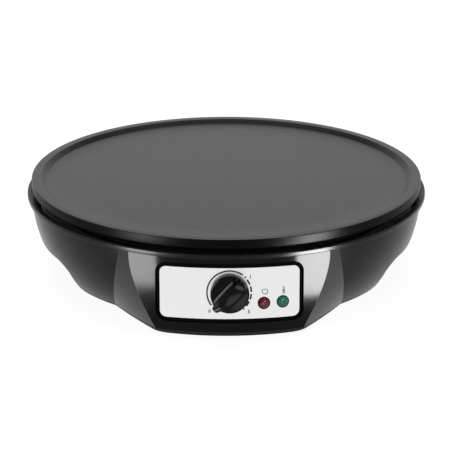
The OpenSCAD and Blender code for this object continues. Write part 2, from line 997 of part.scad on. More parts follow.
module bottom_cover() {
    color("#1b1b1c")
        difference() {
            foot_body();
            translate([0, 0, -1])
                cylinder(h = label_depth + 1, r = label_r);
            for (row = [0, 1], i = [0 : vents - 1])
                rotate([0, 0, (i + row / 2) * 360 / vents])
                    translate([vent_row_r + row * vent_row_step, 0, -1])
                        vent_slot();
            at_ring(cover_screw_angles, cover_screw_r)
                translate([0, 0, -1]) {
                    cylinder(h = cover_t + 2, r = screw_r + seat_gap);
                    cylinder(h = 2, r = screw_head_r + seat_gap);
                }
            at_ring(foot_angles, foot_r)
                translate([0, 0, -1])
                    cylinder(h = cover_t + 2, r = foot_stem_r + seat_gap);
        }
}

module vent_slot() {
    linear_extrude(cover_t + 2) {
        square([vent_l - vent_w, vent_w], center = true);
        for (s = [-1, 1])
            translate([s * (vent_l - vent_w) / 2, 0])
                circle(vent_w / 2);
    }
}

module cover_screws() {
    color("#9a9a9c")
        at_ring(cover_screw_angles, cover_screw_r)
            translate([0, 0, 1])
                pan_screw(cover_screw_l, head_h = 0.9);
}

module rubber_feet() {
    color("#242425")
        at_ring(foot_angles, foot_r)
            rotate_extrude() {
                translate([0, -foot_h])
                    disc_section(foot_d / 2, 0, foot_h, 0.6, 0.2);
                translate([0, -eps])
                    square([foot_stem_r, cover_t + seat_gap + 2 * eps]);
                translate([0, cover_t + seat_gap])
                    square([foot_head_r, foot_head_h]);
            }
}

// ---- Control panel ----

module panel_frame() {
    color("#0c0c0d")
        difference() {
            union() {
                face_block(
                    frame_w - 2 * seat_gap, frame_h - 2 * seat_gap, frame_corner_r - seat_gap,
                    channel_h, channel_h + frame_t
                );
                face_block(fascia_w - 1, fascia_h - 1, fascia_corner_r - 0.5, fascia_back, channel_h + eps);
            }
            panel_holes(seat_gap);
        }
}

module fascia() {
    color("#dcdcde") {
        difference() {
            face_block(fascia_w, fascia_h, fascia_corner_r, fascia_front, fascia_back);
            on_face(0, knob_z)
                cylinder(h = 40, r = collar_hole_r, center = true);
            for (x = [red_x, green_x])
                on_face(x, lamp_z)
                    cylinder(h = 30, r = lens_hole_r, center = true);
        }
        for (p = clip_posts)
            on_face(p[0], panel_z + p[1])
                translate([0, 0, -pad_t - 4])
                    cylinder(h = pad_t + 4 - fascia_front - fascia_t / 2, r = clip_post_r);
    }
}

module fascia_clips() {
    color("#aeb0b3")
        for (p = clip_posts)
            on_face(p[0], panel_z + p[1])
                translate([0, 0, -pad_t - 1.2])
                    difference() {
                        cylinder(h = 0.6, r = clip_r);
                        translate([0, 0, -1])
                            cylinder(h = 3, r = clip_post_r + run_gap);
                    }
}

// ---- Knob and thermostat ----

// Frame of the turning control: Z out of the front face, X along the pointer
module on_knob() {
    on_face(0, knob_z)
        rotate([0, 0, pointer_angle])
            children();
}

module knob() {
    hub_r = shaft_d / 2 + 3;
    skin = 2;
    color("#101011")
        on_knob()
            translate([0, 0, knob_base])
                difference() {
                    knob_dome();
                    for (s = [-1, 1])
                        knob_scoop(s);
                    difference() {
                        translate([0, 0, -1])
                            cylinder(h = knob_disc_h - skin + 1, r = knob_d / 2 - skin);
                        translate([0, 0, -1])
                            cylinder(h = far, r = hub_r);
                    }
                    difference() {
                        translate([0, 0, -1])
                            cylinder(h = knob_h - 3, r = shaft_d / 2 + thread_gap);
                        translate([shaft_d / 2 - shaft_flat + thread_gap, -far / 2, -1])
                            cube([far, far, far]);
                    }
                    translate([0, 0, -1])
                        cylinder(h = 4, r = hub_r - 1);
                    pointer_slot(0);
                }
}

// Outer form of the knob: a straight skirt under a low dome
module knob_dome() {
    dome_r = 42;
    edge_round = 2.2;
    intersection() {
        rotate_extrude()
            intersection() {
                disc_section(knob_d / 2, 0, knob_h, 0.4, edge_round);
                square([far, far]);
            }
        translate([0, 0, knob_h - dome_r])
            sphere(dome_r);
    }
}

// Space beside the grip bar, cut down to the disc
module knob_scoop(side) {
    floor_round = 60;
    intersection() {
        translate([0, side * grip_w / 2, knob_h])
            rotate([side * grip_slope, 0, 0])
                translate([-far / 2, side > 0 ? 0 : -far, -far])
                    cube([far, far, 2 * far]);
        difference() {
            translate([-far / 2, -far / 2, 0])
                cube([far, far, far]);
            translate([0, 0, knob_disc_h - floor_round])
                sphere(floor_round);
        }
    }
}

// Groove for the white pointer line, at the pointer's end of the grip bar
module pointer_slot(gap) {
    translate([knob_d / 2 - 8, -0.8 + gap, knob_h - 4])
        cube([7.2, 1.6 - 2 * gap, 5]);
}

module knob_pointer() {
    color("#f4f4f2")
        on_knob()
            translate([0, 0, knob_base])
                intersection() {
                    pointer_slot(eps);
                    translate([0, 0, 0.05])
                        knob_dome();
                    translate([0, 0, knob_h - 4 + eps])
                        cylinder(h = far, r = knob_d / 2 - 0.85);
                }
}

module knob_spring() {
    ring_r = shaft_d / 2 + 1.9;
    color("#a9abae")
        on_knob()
            translate([0, 0, knob_base + 0.2])
                difference() {
                    cylinder(h = 2.6, r = ring_r);
                    translate([0, 0, -1])
                        cylinder(h = 5, r = ring_r - 0.8);
                    translate([-far, -0.6, -1])
                        cube([far, 1.2, 5]);
                }
}

module thermostat_shaft() {
    flat_l = shaft_tip + 1.5;
    color("#c2c2c4")
        on_knob()
            difference() {
                translate([0, 0, -shaft_tail])
                    cylinder(h = shaft_tail + shaft_tip, r = shaft_d / 2);
                translate([shaft_d / 2 - shaft_flat, -far / 2, shaft_tip - flat_l])
                    cube([far, far, far]);
            }
}

module thermostat_body() {
    color("#e3ddcf")
        on_face(0, knob_z)
            difference() {
                union() {
                    translate([0, 0, -switch_back])
                        linear_extrude(switch_l)
                            round_rect(switch_w, switch_h, 3);
                    translate([0, 0, -switch_front - eps])
                        cylinder(h = switch_front - pad_t + 1.4, r = collar_r);
                    for (x = [-tab_x, tab_x])
                        translate([x - tab_w / 2, tab_y, -switch_back - tab_l])
                            cube([tab_w, tab_t, tab_l + 1]);
                }
                translate([0, 0, -shaft_tail - 0.5])
                    cylinder(h = far, r = shaft_d / 2 + run_gap);
            }
}

module thermostat_bracket() {
    color("#b6b8ba")
        on_face(0, knob_z)
            translate([0, 0, -switch_front])
                difference() {
                    linear_extrude(sheet_t) {
                        translate([0, bracket_post_y])
                            round_rect(bracket_w, bracket_h, 3);
                        circle(collar_hole_r + 5);
                    }
                    translate([0, 0, -1])
                        cylinder(h = 4, r = collar_hole_r);
                    for (s = [-1, 1])
                        translate([s * bracket_post_x, bracket_post_y, -1])
                            cylinder(h = 4, r = screw_r + seat_gap);
                }
}

module bracket_screws() {
    color("#c4c4c6")
        bracket_post_places()
            translate([0, 0, -switch_front])
                pan_screw(5);
}

module thermostat_nut() {
    color("#c0c0c2")
        on_face(0, knob_z)
            translate([0, 0, -bracket_back])
                difference() {
                    cylinder(h = nut_h, d = nut_w / cos(30), $fn = 6);
                    translate([0, 0, -1])
                        cylinder(h = nut_h + 2, r = collar_r + thread_gap);
                }
}

module sensor_bulb() {
    tail = [bulb_x, bulb_y - bulb_l / 2 - 8, bulb_z];
    color("#b0673c") {
        translate([bulb_x, bulb_y - bulb_l / 2, bulb_z])
            rotate([-90, 0, 0])
                cylinder(h = bulb_l, r = bulb_r);
        lead([
            [bulb_x, bulb_y - bulb_l / 2 + 2, bulb_z], tail, [tail[0], tail[1], shield_floor_z - 8],
            knob_point(10, 9, switch_back + 9), knob_point(10, 9, switch_back + capillary_r)
        ], capillary_r);
    }
}

module bulb_clip() {
    color("#9c9c9e")
        difference() {
            translate([bulb_x, bulb_y, plate_low_z])
                strap(bulb_r + seat_gap, 14, bulb_clip_reach);
            bulb_clip_places()
                translate([0, 0, plate_low_z - sheet_t - 1])
                    cylinder(h = sheet_t + 2, r = screw_r + seat_gap);
        }
}

module bulb_clip_places() {
    for (s = [-1, 1])
        translate([bulb_x + s * bulb_clip_screw_x, bulb_y, 0])
            children();
}

// ---- Lamps ----

// One lens: a dome on a hollow stem
module lens(x) {
    dome_r = 4.2;
    dome_h = 2.4;
    on_face(x, lamp_z)
        difference() {
            union() {
                translate([0, 0, -fascia_front + lens_ring_h])
                    intersection() {
                        cylinder(h = dome_h, r = lens_r);
                        translate([0, 0, dome_h - dome_r])
                            sphere(dome_r);
                    }
                translate([0, 0, -lens_stem_l])
                    cylinder(h = lens_stem_l - fascia_front + lens_ring_h + eps, r = lens_stem_r);
            }
            translate([0, 0, -lens_stem_l - 1])
                cylinder(h = lens_stem_l, r = lens_bore_r);
        }
}

module red_lens() {
    color("#8c2430")
        lens(red_x);
}

module green_lens() {
    color("#1f9c72")
        lens(green_x);
}

module lamp_rings() {
    color("#2a2a2c")
        for (x = [red_x, green_x])
            on_face(x, lamp_z)
                translate([0, 0, -fascia_front])
                    difference() {
                        cylinder(h = lens_ring_h, d = lens_ring_d);
                        translate([0, 0, -1])
                            cylinder(h = 3, r = lens_hole_r);
                    }
}

module neon_lamps() {
    color("#e9b98c")
        for (x = [red_x, green_x])
            on_face(x, lamp_z)
                translate([0, 0, -lens_stem_l - 3])
                    cylinder(h = lens_stem_l + 1, r = neon_r);
}

module lamp_clips() {
    color("#aeb0b3")
        for (x = [red_x, green_x])
            on_face(x, lamp_z)
                translate([0, 0, -pad_t - 1])
                    difference() {
                        cylinder(h = 0.6, r = lamp_clip_r);
                        translate([0, 0, -1])
                            cylinder(h = 3, r = lens_stem_r + run_gap);
                    }
}

// ---- Supply side ----

module thermal_fuse() {
    color("#d9d2bd")
        translate([fuse_x, fuse_y, fuse_z])
            rotate([0, 90, 0]) {
                cylinder(h = fuse_l, r = fuse_r, center = true);
                cylinder(h = fuse_l + 2 * fuse_pin_l, r = 0.8, center = true);
            }
}

module fuse_clip() {
    color("#9c9c9e")
        difference() {
            translate([fuse_x, fuse_y, shield_floor_z])
                rotate([0, 0, 90])
                    strap(fuse_r + seat_gap, 8, fuse_clip_reach);
            rivet_places()
                translate([0, 0, -sheet_t - 1])
                    cylinder(h = sheet_t + 2, r = rivet_r + seat_gap);
        }
}

// Places of the rivets in the shield: two for the fuse's clip, one for the earth tag
module rivet_places() {
    for (s = [-1, 1])
        translate([fuse_x, fuse_y + s * (fuse_clip_reach - rivet_head_r - 0.4), shield_floor_z])
            children();
    translate([earth_x, earth_y, shield_floor_z])
        children();
}

module shield_rivets() {
    color("#b9bbbd")
        rivet_places() {
            translate([0, 0, -sheet_t - 0.8])
                cylinder(h = 0.8, r = rivet_head_r);
            translate([0, 0, -sheet_t - eps])
                cylinder(h = sheet_t + shield_t + 2 * eps, r = rivet_r);
            translate([0, 0, shield_t])
                cylinder(h = 0.8, r = rivet_head_r);
        }
}

module terminal_block() {
    color("#ddd8c8")
        difference() {
            translate([-block_w / 2, block_y - block_l / 2, cover_t])
                cube([block_w, block_l, block_h]);
            terminal_places()
                translate([0, 0, -8])
                    cylinder(h = 10, r = 2.2 + seat_gap);
            terminal_places()
                translate([0, 0, -6])
                    rotate([90, 0, 0])
                        cylinder(h = block_l + 2, r = 1.8, center = true);
        }
}

module terminal_places() {
    for (x = [-1, 0, 1])
        translate([x * block_w / 3.2, block_y, cover_t + block_h])
            children();
}

module terminal_screws() {
    color("#c9b36a")
        terminal_places()
            translate([0, 0, -6 + 1.9])
                difference() {
                    cylinder(h = 3.6, r = 2.2);
                    translate([-3, -0.4, 2.6])
                        cube([6, 0.8, 2]);
                }
}

// Place under the pin at one end of the element
function pin_end(i) = [
    pin_ring_r * cos(element_ends[i] + (i == 0 ? 1 : -1) * pin_turn),
    pin_ring_r * sin(element_ends[i] + (i == 0 ? 1 : -1) * pin_turn), pin_end_z
];

module live_lead() {
    color("#7a4a2a")
        lead([
            [-block_w / 3.2, block_y - 6, wire_z], [-block_w / 3.2, block_y - 16, wire_z],
            [-26, 20, 12], [-20, -80, 12], knob_point(-tab_x, tab_y + tab_t / 2, switch_back + tab_l + lead_r + seat_gap)
        ]);
}

module switched_lead() {
    color("#c8c4b8")
        lead([
            knob_point(tab_x, tab_y + tab_t / 2, switch_back + tab_l + lead_r + seat_gap), [16, -80, 14],
            [20, 20, 20], [18, fuse_y, fuse_z], [fuse_x + fuse_l / 2 + fuse_pin_l + lead_r + seat_gap, fuse_y, fuse_z]
        ]);
}

module fuse_lead() {
    color("#c8c4b8")
        lead([
            [fuse_x - fuse_l / 2 - fuse_pin_l - lead_r - seat_gap, fuse_y, fuse_z],
            [fuse_x - fuse_l / 2 - fuse_pin_l - 6, fuse_y + 4, fuse_z - 6],
            [pin_end(1)[0] - 10, pin_end(1)[1] - 16, pin_end_z - 3], pin_end(1)
        ]);
}

module neutral_lead() {
    color("#2c5a86")
        lead([
            [block_w / 3.2, block_y - 6, wire_z], [block_w / 3.2, block_y - 16, wire_z],
            [34, 70, 14], [pin_end(0)[0] + 10, pin_end(0)[1] - 12, pin_end_z - 4], pin_end(0)
        ]);
}

module earth_lead() {
    color("#6f9c3c")
        lead([
            [0, block_y - 6, wire_z], [0, block_y - 16, wire_z], [-16, 58, 20], [earth_x, 50, 30],
            [earth_x, earth_y + 5, shield_floor_z - sheet_t - lead_r - seat_gap]
        ]);
}

module lamp_leads() {
    color("#b8453a") {
        lamp_lead(red_x, -8, 9);
        lamp_lead(green_x, -3, 14);
    }
}

// Lead from the tail of one lamp to the side of the switch body
module lamp_lead(x, y, depth) {
    wire_r = 0.7;
    lead([
        lamp_point(x, lens_stem_l + 3 + wire_r + seat_gap), lamp_point(x, lens_stem_l + 14),
        knob_point(switch_w / 2 + wire_r, y, switch_front + depth)
    ], wire_r);
}

// Point behind a lamp, along its own axis
function lamp_point(x, back) =
    let (turn = x * 180 / PI / face_r(lamp_z), reach = face_r(lamp_z) - back * cos(face_tilt))
    [reach * sin(turn), -reach * cos(turn), lamp_z - back * sin(face_tilt)];

module earth_tag() {
    color("#c9b36a")
        translate([earth_x, earth_y, shield_floor_z - sheet_t])
            difference() {
                translate([-4, -6, 0])
                    cube([8, 12, sheet_t]);
                translate([0, 0, -1])
                    cylinder(h = sheet_t + 2, r = rivet_r + seat_gap);
            }
}

module cord_bush() {
    color("#1d1d1e")
        translate([0, inlet_face_y, inlet_z])
            rotate([90, 0, 0])
                difference() {
                    union() {
                        cylinder(h = bush_l, r = bush_r);
                        translate([0, 0, -bush_flange_t])
                            cylinder(h = bush_flange_t, r = bush_flange_r);
                    }
                    translate([0, 0, -bush_flange_t - 1])
                        cylinder(h = bush_l + bush_flange_t + 2, r = inlet_r);
                }
}

griddle_plate();
heating_element();
element_pins();
element_insulators();
element_saddles();
plate_screws();
plate_studs();
stud_spacers();
stud_nuts();
heat_shield();
shield_screws();
base_housing();
bottom_cover();
cover_screws();
rubber_feet();
panel_frame();
fascia();
fascia_clips();
knob();
knob_pointer();
knob_spring();
thermostat_shaft();
thermostat_body();
thermostat_bracket();
bracket_screws();
thermostat_nut();
sensor_bulb();
bulb_clip();
red_lens();
green_lens();
lamp_rings();
neon_lamps();
lamp_clips();
thermal_fuse();
fuse_clip();
shield_rivets();
terminal_block();
terminal_screws();
live_lead();
switched_lead();
fuse_lead();
neutral_lead();
earth_lead();
lamp_leads();
earth_tag();
cord_bush();
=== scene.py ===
# %% [markdown]
# # An electric crepe maker, dressed for a product picture
# The object is a cast griddle plate on a low bowl of glossy black plastic. A
# pedestal at the front carries a steel panel with a knob and two lamps. The
# solid model is loaded first and never moved: every piece made here takes its
# place from it, so nothing has to be fitted by eye.

# %% Load the solid model
import json
import math
import bmesh
import bpy
from mathutils import Matrix, Vector

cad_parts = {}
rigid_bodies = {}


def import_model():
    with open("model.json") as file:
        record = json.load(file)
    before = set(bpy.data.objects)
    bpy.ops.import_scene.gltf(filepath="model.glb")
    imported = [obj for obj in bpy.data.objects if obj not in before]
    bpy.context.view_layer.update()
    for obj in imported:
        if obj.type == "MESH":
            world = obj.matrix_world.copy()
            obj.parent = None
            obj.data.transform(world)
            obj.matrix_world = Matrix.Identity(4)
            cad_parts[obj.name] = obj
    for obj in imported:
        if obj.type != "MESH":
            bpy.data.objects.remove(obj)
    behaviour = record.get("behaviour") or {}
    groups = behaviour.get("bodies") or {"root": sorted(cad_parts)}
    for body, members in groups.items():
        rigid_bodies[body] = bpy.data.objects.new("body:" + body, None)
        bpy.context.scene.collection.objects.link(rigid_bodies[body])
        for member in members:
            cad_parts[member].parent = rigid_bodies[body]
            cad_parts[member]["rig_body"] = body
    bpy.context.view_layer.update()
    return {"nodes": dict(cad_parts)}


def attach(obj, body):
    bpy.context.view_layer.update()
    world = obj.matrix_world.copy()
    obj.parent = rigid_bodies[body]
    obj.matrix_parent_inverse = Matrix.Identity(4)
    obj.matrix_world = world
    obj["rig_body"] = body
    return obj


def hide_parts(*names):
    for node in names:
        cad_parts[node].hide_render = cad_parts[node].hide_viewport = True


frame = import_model()
nodes = frame["nodes"]
MM = 0.001

# %% [markdown]
# ## Sizes that the pieces share
# The pedestal's front is a cone about the plate's axis, a little wider at the
# bottom. The panel, the knob and the lamps all sit on it. A point on that cone
# is given by how far it lies round the front, how high it is, and how far it
# stands out of the face. All the sizes are in millimetres.

# %% The front face
PANEL_Z = 31.1
KNOB_Z = 31.6
FACE_TOP_R = 152.2
FACE_TOP_Z = 56.0
FACE_TILT = math.radians(5)
FASCIA_OUT = -0.2
POINTER = math.radians(225)


def face_radius(z):
    """Radius of the front cone at a height."""
    return FACE_TOP_R + (FACE_TOP_Z - z) * math.tan(FACE_TILT)


def on_face(x, y, out, z0=PANEL_Z):
    """Point on the cone: x round it, y up along it from z0, out of it by out."""
    z = z0 + y * math.cos(FACE_TILT) + out * math.sin(FACE_TILT)
    r = face_radius(z0) - y * math.sin(FACE_TILT) + out * math.cos(FACE_TILT)
    turn = x / face_radius(z0)
    return Vector((r * math.sin(turn), -r * math.cos(turn), z)) * MM


def face_matrix(x, z0):
    """Frame whose Z leaves the front cone and whose Y climbs it."""
    turn = x / face_radius(z0)
    place = Matrix.Translation(on_face(x, 0, 0, z0))
    return place @ Matrix.Rotation(turn, 4, "Z") @ Matrix.Rotation(math.pi / 2 - FACE_TILT, 4, "X")


print("front radius at the knob:", round(face_radius(KNOB_Z), 2), "mm")

# %% [markdown]
# ## Camera, floor and light
# A long lens a good way off, about twenty degrees above the table, shows the
# plate as a wide oval and the panel nearly square on. The room is plain: a
# pale floor, a surround that is pale low down and darker overhead, and one
# broad lamp above. Black plastic has almost no colour of its own, so what
# makes its shape readable is what it mirrors: two small strips stand close to
# the pedestal's corners and a few smaller cards stand close to the knob. They
# are seen only in reflections.

# %% Camera
CAMERA_DISTANCE = 1.4
CAMERA_RAISE = math.radians(20.09)
CAMERA_TURN = math.radians(-0.9)
AIM = Vector((-0.23, 0, 25.29)) * MM

camera_data = bpy.data.cameras.new("camera")
camera_data.lens = 142.4
camera_data.sensor_width = 36
camera = bpy.data.objects.new("camera", camera_data)
bpy.context.scene.collection.objects.link(camera)
camera.location = AIM + CAMERA_DISTANCE * Vector((
    math.sin(CAMERA_TURN) * math.cos(CAMERA_RAISE),
    -math.cos(CAMERA_TURN) * math.cos(CAMERA_RAISE),
    math.sin(CAMERA_RAISE),
))
camera.rotation_euler = (AIM - camera.location).to_track_quat("-Z", "Y").to_euler()
bpy.context.scene.camera = camera
bpy.context.scene.view_settings.view_transform = "Standard"
print("camera at", [round(v, 3) for v in camera.location])

# %% World and floor
FLOOR_Z = -0.002
FLOOR_HALF = 6
FLOOR_GREY = 0.16
FLOOR_GLOW = 0.94
ROOM_LIGHT = 0.3
BACKDROP_FADE = {"From Min": 0.42, "From Max": 0.75, "To Min": 1.0, "To Max": 0.2}


def seen_directly(tree):
    """Value 1 for rays from the camera, a reflection or clear plastic."""
    path = tree.nodes.new("ShaderNodeLightPath")
    first = tree.nodes.new("ShaderNodeMath")
    first.operation = "MAXIMUM"
    tree.links.new(path.outputs["Is Camera Ray"], first.inputs[0])
    tree.links.new(path.outputs["Is Glossy Ray"], first.inputs[1])
    second = tree.nodes.new("ShaderNodeMath")
    second.operation = "MAXIMUM"
    tree.links.new(first.outputs[0], second.inputs[0])
    tree.links.new(path.outputs["Is Transmission Ray"], second.inputs[1])
    return second.outputs[0]


world = bpy.data.worlds.new("studio")
bpy.context.scene.world = world
world.use_nodes = True
world_tree = world.node_tree
world_tree.nodes.clear()
world_out = world_tree.nodes.new("ShaderNodeOutputWorld")
room = world_tree.nodes.new("ShaderNodeBackground")
room.inputs["Strength"].default_value = ROOM_LIGHT
backdrop = world_tree.nodes.new("ShaderNodeBackground")
direction = world_tree.nodes.new("ShaderNodeTexCoord")
height = world_tree.nodes.new("ShaderNodeSeparateXYZ")
world_tree.links.new(direction.outputs["Generated"], height.inputs[0])
fade = world_tree.nodes.new("ShaderNodeMapRange")
for label, value in BACKDROP_FADE.items():
    fade.inputs[label].default_value = value
world_tree.links.new(height.outputs["Z"], fade.inputs["Value"])
world_tree.links.new(fade.outputs["Result"], backdrop.inputs["Strength"])
# A reflection or the camera sees the backdrop; diffuse light comes from the dimmer room.
world_mix = world_tree.nodes.new("ShaderNodeMixShader")
world_tree.links.new(seen_directly(world_tree), world_mix.inputs[0])
world_tree.links.new(room.outputs[0], world_mix.inputs[1])
world_tree.links.new(backdrop.outputs[0], world_mix.inputs[2])
world_tree.links.new(world_mix.outputs[0], world_out.inputs[0])

floor_mesh = bpy.data.meshes.new("floor")
floor_corners = [(x * FLOOR_HALF, y * FLOOR_HALF, FLOOR_Z)
                 for x, y in ((-1, -1), (1, -1), (1, 1), (-1, 1))]
floor_mesh.from_pydata(floor_corners, [], [(0, 1, 2, 3)])
floor = bpy.data.objects.new("floor", floor_mesh)
bpy.context.scene.collection.objects.link(floor)
floor_paint = bpy.data.materials.new("floor_paint")
floor_paint.use_nodes = True
floor_tree = floor_paint.node_tree
floor_shader = floor_tree.nodes["Principled BSDF"]
floor_shader.inputs["Base Color"].default_value = (FLOOR_GREY, FLOOR_GREY, FLOOR_GREY, 1)
floor_shader.inputs["Roughness"].default_value = 0.9
floor_shader.inputs["Specular IOR Level"].default_value = 0.0
floor_shader.inputs["Emission Color"].default_value = (1, 1, 1, 1)
lift = floor_tree.nodes.new("ShaderNodeMath")
lift.operation = "MULTIPLY"
lift.inputs[1].default_value = FLOOR_GLOW
floor_tree.links.new(seen_directly(floor_tree), lift.inputs[0])
floor_tree.links.new(lift.outputs[0], floor_shader.inputs["Emission Strength"])
floor_mesh.materials.append(floor_paint)


# %% Lamps
def add_lamp(name, size, power, place, aim, sheen_only=False):
    """Rectangular lamp of a size in metres, aimed at a point; it can light reflections only."""
    data = bpy.data.lights.new(name, "AREA")
    data.shape = "RECTANGLE"
    data.size, data.size_y = size
    data.energy = power
    lamp = bpy.data.objects.new(name, data)
    bpy.context.scene.collection.objects.link(lamp)
    lamp.location = place
    lamp.rotation_euler = (Vector(aim) - Vector(place)).to_track_quat("-Z", "Y").to_euler()
    lamp.visible_camera = False
    lamp.visible_diffuse = not sheen_only
    return lamp


# Each row: name, size, power in watts, place and the point it is aimed at.
STRIPS = (
    ("left_strip", (0.07, 0.09), 0.75, (-0.177, -0.236, 0.04), (-0.064, -0.138, 0.04)),
    ("right_strip", (0.048, 0.058), 0.68, (0.110, -0.185, 0.039), (0.064, -0.138, 0.039)),
)
CARDS = (
    ("knob_high_card", (0.07, 0.03), 0.05, (0.047, -0.214, 0.070), (0.006, -0.165, 0.040)),
    ("knob_low_card", (0.04, 0.03), 0.014, (0.014, -0.211, 0.015), (0.006, -0.163, 0.028)),
    ("knob_left_card", (0.05, 0.05), 0.09, (-0.060, -0.167, 0.060), (0.0, -0.167, 0.036)),
)
add_lamp("overhead", (1.6, 1.2), 22.0, (0.0, 0.45, 1.5), (0, 0, 0.03))
strips = [add_lamp(*row, sheen_only=True) for row in STRIPS]
cards = [add_lamp(*row, sheen_only=True) for row in CARDS]

# %% [markdown]
# ## Effects that several finishes share
# Real surfaces are never one even colour or one even gloss. Three small groups
# of shader nodes are built once and placed in the finishes with their own
# values: a fine grain, drawn lines as on rolled steel, and the faint smears
# that handling leaves on a gloss. They read object coordinates, which are the
# model's own metres, so their scale is true on every piece.


# %% Node groups
def new_group(name, inputs, outputs):
    """Empty shader group with float inputs and typed outputs."""
    group = bpy.data.node_groups.new(name, "ShaderNodeTree")
    for label, value in inputs:
        socket = group.interface.new_socket(label, in_out="INPUT", socket_type="NodeSocketFloat")
        socket.default_value = value
    for label, kind in outputs:
        group.interface.new_socket(label, in_out="OUTPUT", socket_type=kind)
    start = group.nodes.new("NodeGroupInput")
    end = group.nodes.new("NodeGroupOutput")
    return group, start, end


def add_node(tree, kind, settings=(), values=(), links=()):
    """Node with its settings, socket values and incoming links."""
    node = tree.nodes.new(kind)
    for key, value in dict(settings).items():
        setattr(node, key, value)
    for key, value in dict(values).items():
        node.inputs[key].default_value = value
    for key, source in dict(links).items():
        tree.links.new(source, node.inputs[key])
    return node


def build_grain():
    """Fine speckle: a height and a mask between 0 and 1."""
    tree, start, end = new_group(
        "fine_grain", [("Scale", 1500), ("Patch Scale", 60)],
        [("Height", "NodeSocketFloat"), ("Patches", "NodeSocketFloat")],
    )
    place = add_node(tree, "ShaderNodeTexCoord")
    fine = add_node(tree, "ShaderNodeTexNoise", values={"Detail": 2.0, "Roughness": 0.6},
                    links={"Vector": place.outputs["Object"], "Scale": start.outputs["Scale"]})
    broad = add_node(
        tree, "ShaderNodeTexNoise", values={"Detail": 3.0, "Roughness": 0.55},
        links={"Vector": place.outputs["Object"], "Scale": start.outputs["Patch Scale"]})
    tree.links.new(fine.outputs["Fac"], end.inputs["Height"])
    tree.links.new(broad.outputs["Fac"], end.inputs["Patches"])
    return tree


def build_drawn_lines():
    """Lines along X, as on drawn steel."""
    tree, start, end = new_group(
        "drawn_lines", [("Across", 2600), ("Along", 18)], [("Lines", "NodeSocketFloat")],
    )
    place = add_node(tree, "ShaderNodeTexCoord")
    split = add_node(tree, "ShaderNodeSeparateXYZ", links={0: place.outputs["Object"]})
    along = add_node(tree, "ShaderNodeMath", {"operation": "MULTIPLY"},
                     links={0: split.outputs["X"], 1: start.outputs["Along"]})
    across = add_node(tree, "ShaderNodeMath", {"operation": "MULTIPLY"},
                      links={0: split.outputs["Z"], 1: start.outputs["Across"]})
    joined = add_node(tree, "ShaderNodeCombineXYZ",
                      links={0: along.outputs[0], 2: across.outputs[0]})
    noise = add_node(tree, "ShaderNodeTexNoise", values={"Scale": 1.0, "Detail": 2.0},
                     links={"Vector": joined.outputs[0]})
    tree.links.new(noise.outputs["Fac"], end.inputs["Lines"])
    return tree


def build_smears():
    """Soft smears: a roughness between a low and a high value."""
    tree, start, end = new_group(
        "smears", [("Scale", 28), ("Low", 0.1), ("High", 0.2)], [("Roughness", "NodeSocketFloat")],
    )
    place = add_node(tree, "ShaderNodeTexCoord")
    noise = add_node(tree, "ShaderNodeTexNoise", values={"Detail": 4.0, "Distortion": 0.6},
                     links={"Vector": place.outputs["Object"], "Scale": start.outputs["Scale"]})
    span = add_node(tree, "ShaderNodeMapRange", values={"From Min": 0.3, "From Max": 0.7},
                    links={"Value": noise.outputs["Fac"], "To Min": start.outputs["Low"],
                           "To Max": start.outputs["High"]})
    tree.links.new(span.outputs["Result"], end.inputs["Roughness"])
    return tree


fine_grain = build_grain()
drawn_lines = build_drawn_lines()
smears = build_smears()
print("groups:", [g.name for g in bpy.data.node_groups])


# %% Finishes
def place_group(tree, group, **values):
    """One group in a material, with its values."""
    node = tree.nodes.new("ShaderNodeGroup")
    node.node_tree = group
    for key, value in values.items():
        node.inputs[key.replace("_", " ")].default_value = value
    return node


def new_finish(name, color, roughness=0.5, metallic=0.0, specular=0.5, coat=0.0):
    """Material with one Principled shader; returns it, its tree and the shader."""
    finish = bpy.data.materials.new(name)
    finish.use_nodes = True
    tree = finish.node_tree
    shader = tree.nodes["Principled BSDF"]
    shader.inputs["Base Color"].default_value = (*color, 1)
    shader.inputs["Roughness"].default_value = roughness
    shader.inputs["Metallic"].default_value = metallic
    shader.inputs["Specular IOR Level"].default_value = specular
    shader.inputs["Coat Weight"].default_value = coat
    return finish, tree, shader


def vary_color(tree, shader, mask, dark, light):
    """Base colour that runs from dark to light with a mask."""
    mix = add_node(tree, "ShaderNodeMix", {"data_type": "RGBA"})
    mix.inputs[6].default_value = (*dark, 1)
    mix.inputs[7].default_value = (*light, 1)
    tree.links.new(mask, mix.inputs[0])
    tree.links.new(mix.outputs[2], shader.inputs["Base Color"])


def add_bump(tree, shader, height, strength, distance):
    """Bump from a height, feeding the shader's normal."""
    bump = add_node(tree, "ShaderNodeBump", values={"Strength": strength, "Distance": distance},
                    links={"Height": height})
    tree.links.new(bump.outputs["Normal"], shader.inputs["Normal"])


def gloss_plastic(name, color, low, high, specular):
    """Moulded plastic with faint smears in its gloss."""
    finish, tree, shader = new_finish(name, color, specular=specular)
    smear = place_group(tree, smears, Scale=26, Low=low, High=high)
    grain = place_group(tree, fine_grain, Scale=900, Patch_Scale=40)
    tree.links.new(smear.outputs["Roughness"], shader.inputs["Roughness"])
    vary_color(tree, shader, grain.outputs["Patches"],
               [c * 0.85 for c in color], [min(1.0, c * 1.15) for c in color])
    return finish


def grained(name, color, roughness, scale, strength, specular=0.5, metallic=0.0):
    """Matte or satin surface with a fine grain."""
    finish, tree, shader = new_finish(name, color, roughness, metallic, specular)
    grain = place_group(tree, fine_grain, Scale=scale, Patch_Scale=70)
    vary_color(tree, shader, grain.outputs["Patches"],
               [c * 0.9 for c in color], [min(1.0, c * 1.1) for c in color])
    add_bump(tree, shader, grain.outputs["Height"], strength, 0.0003)
    return finish


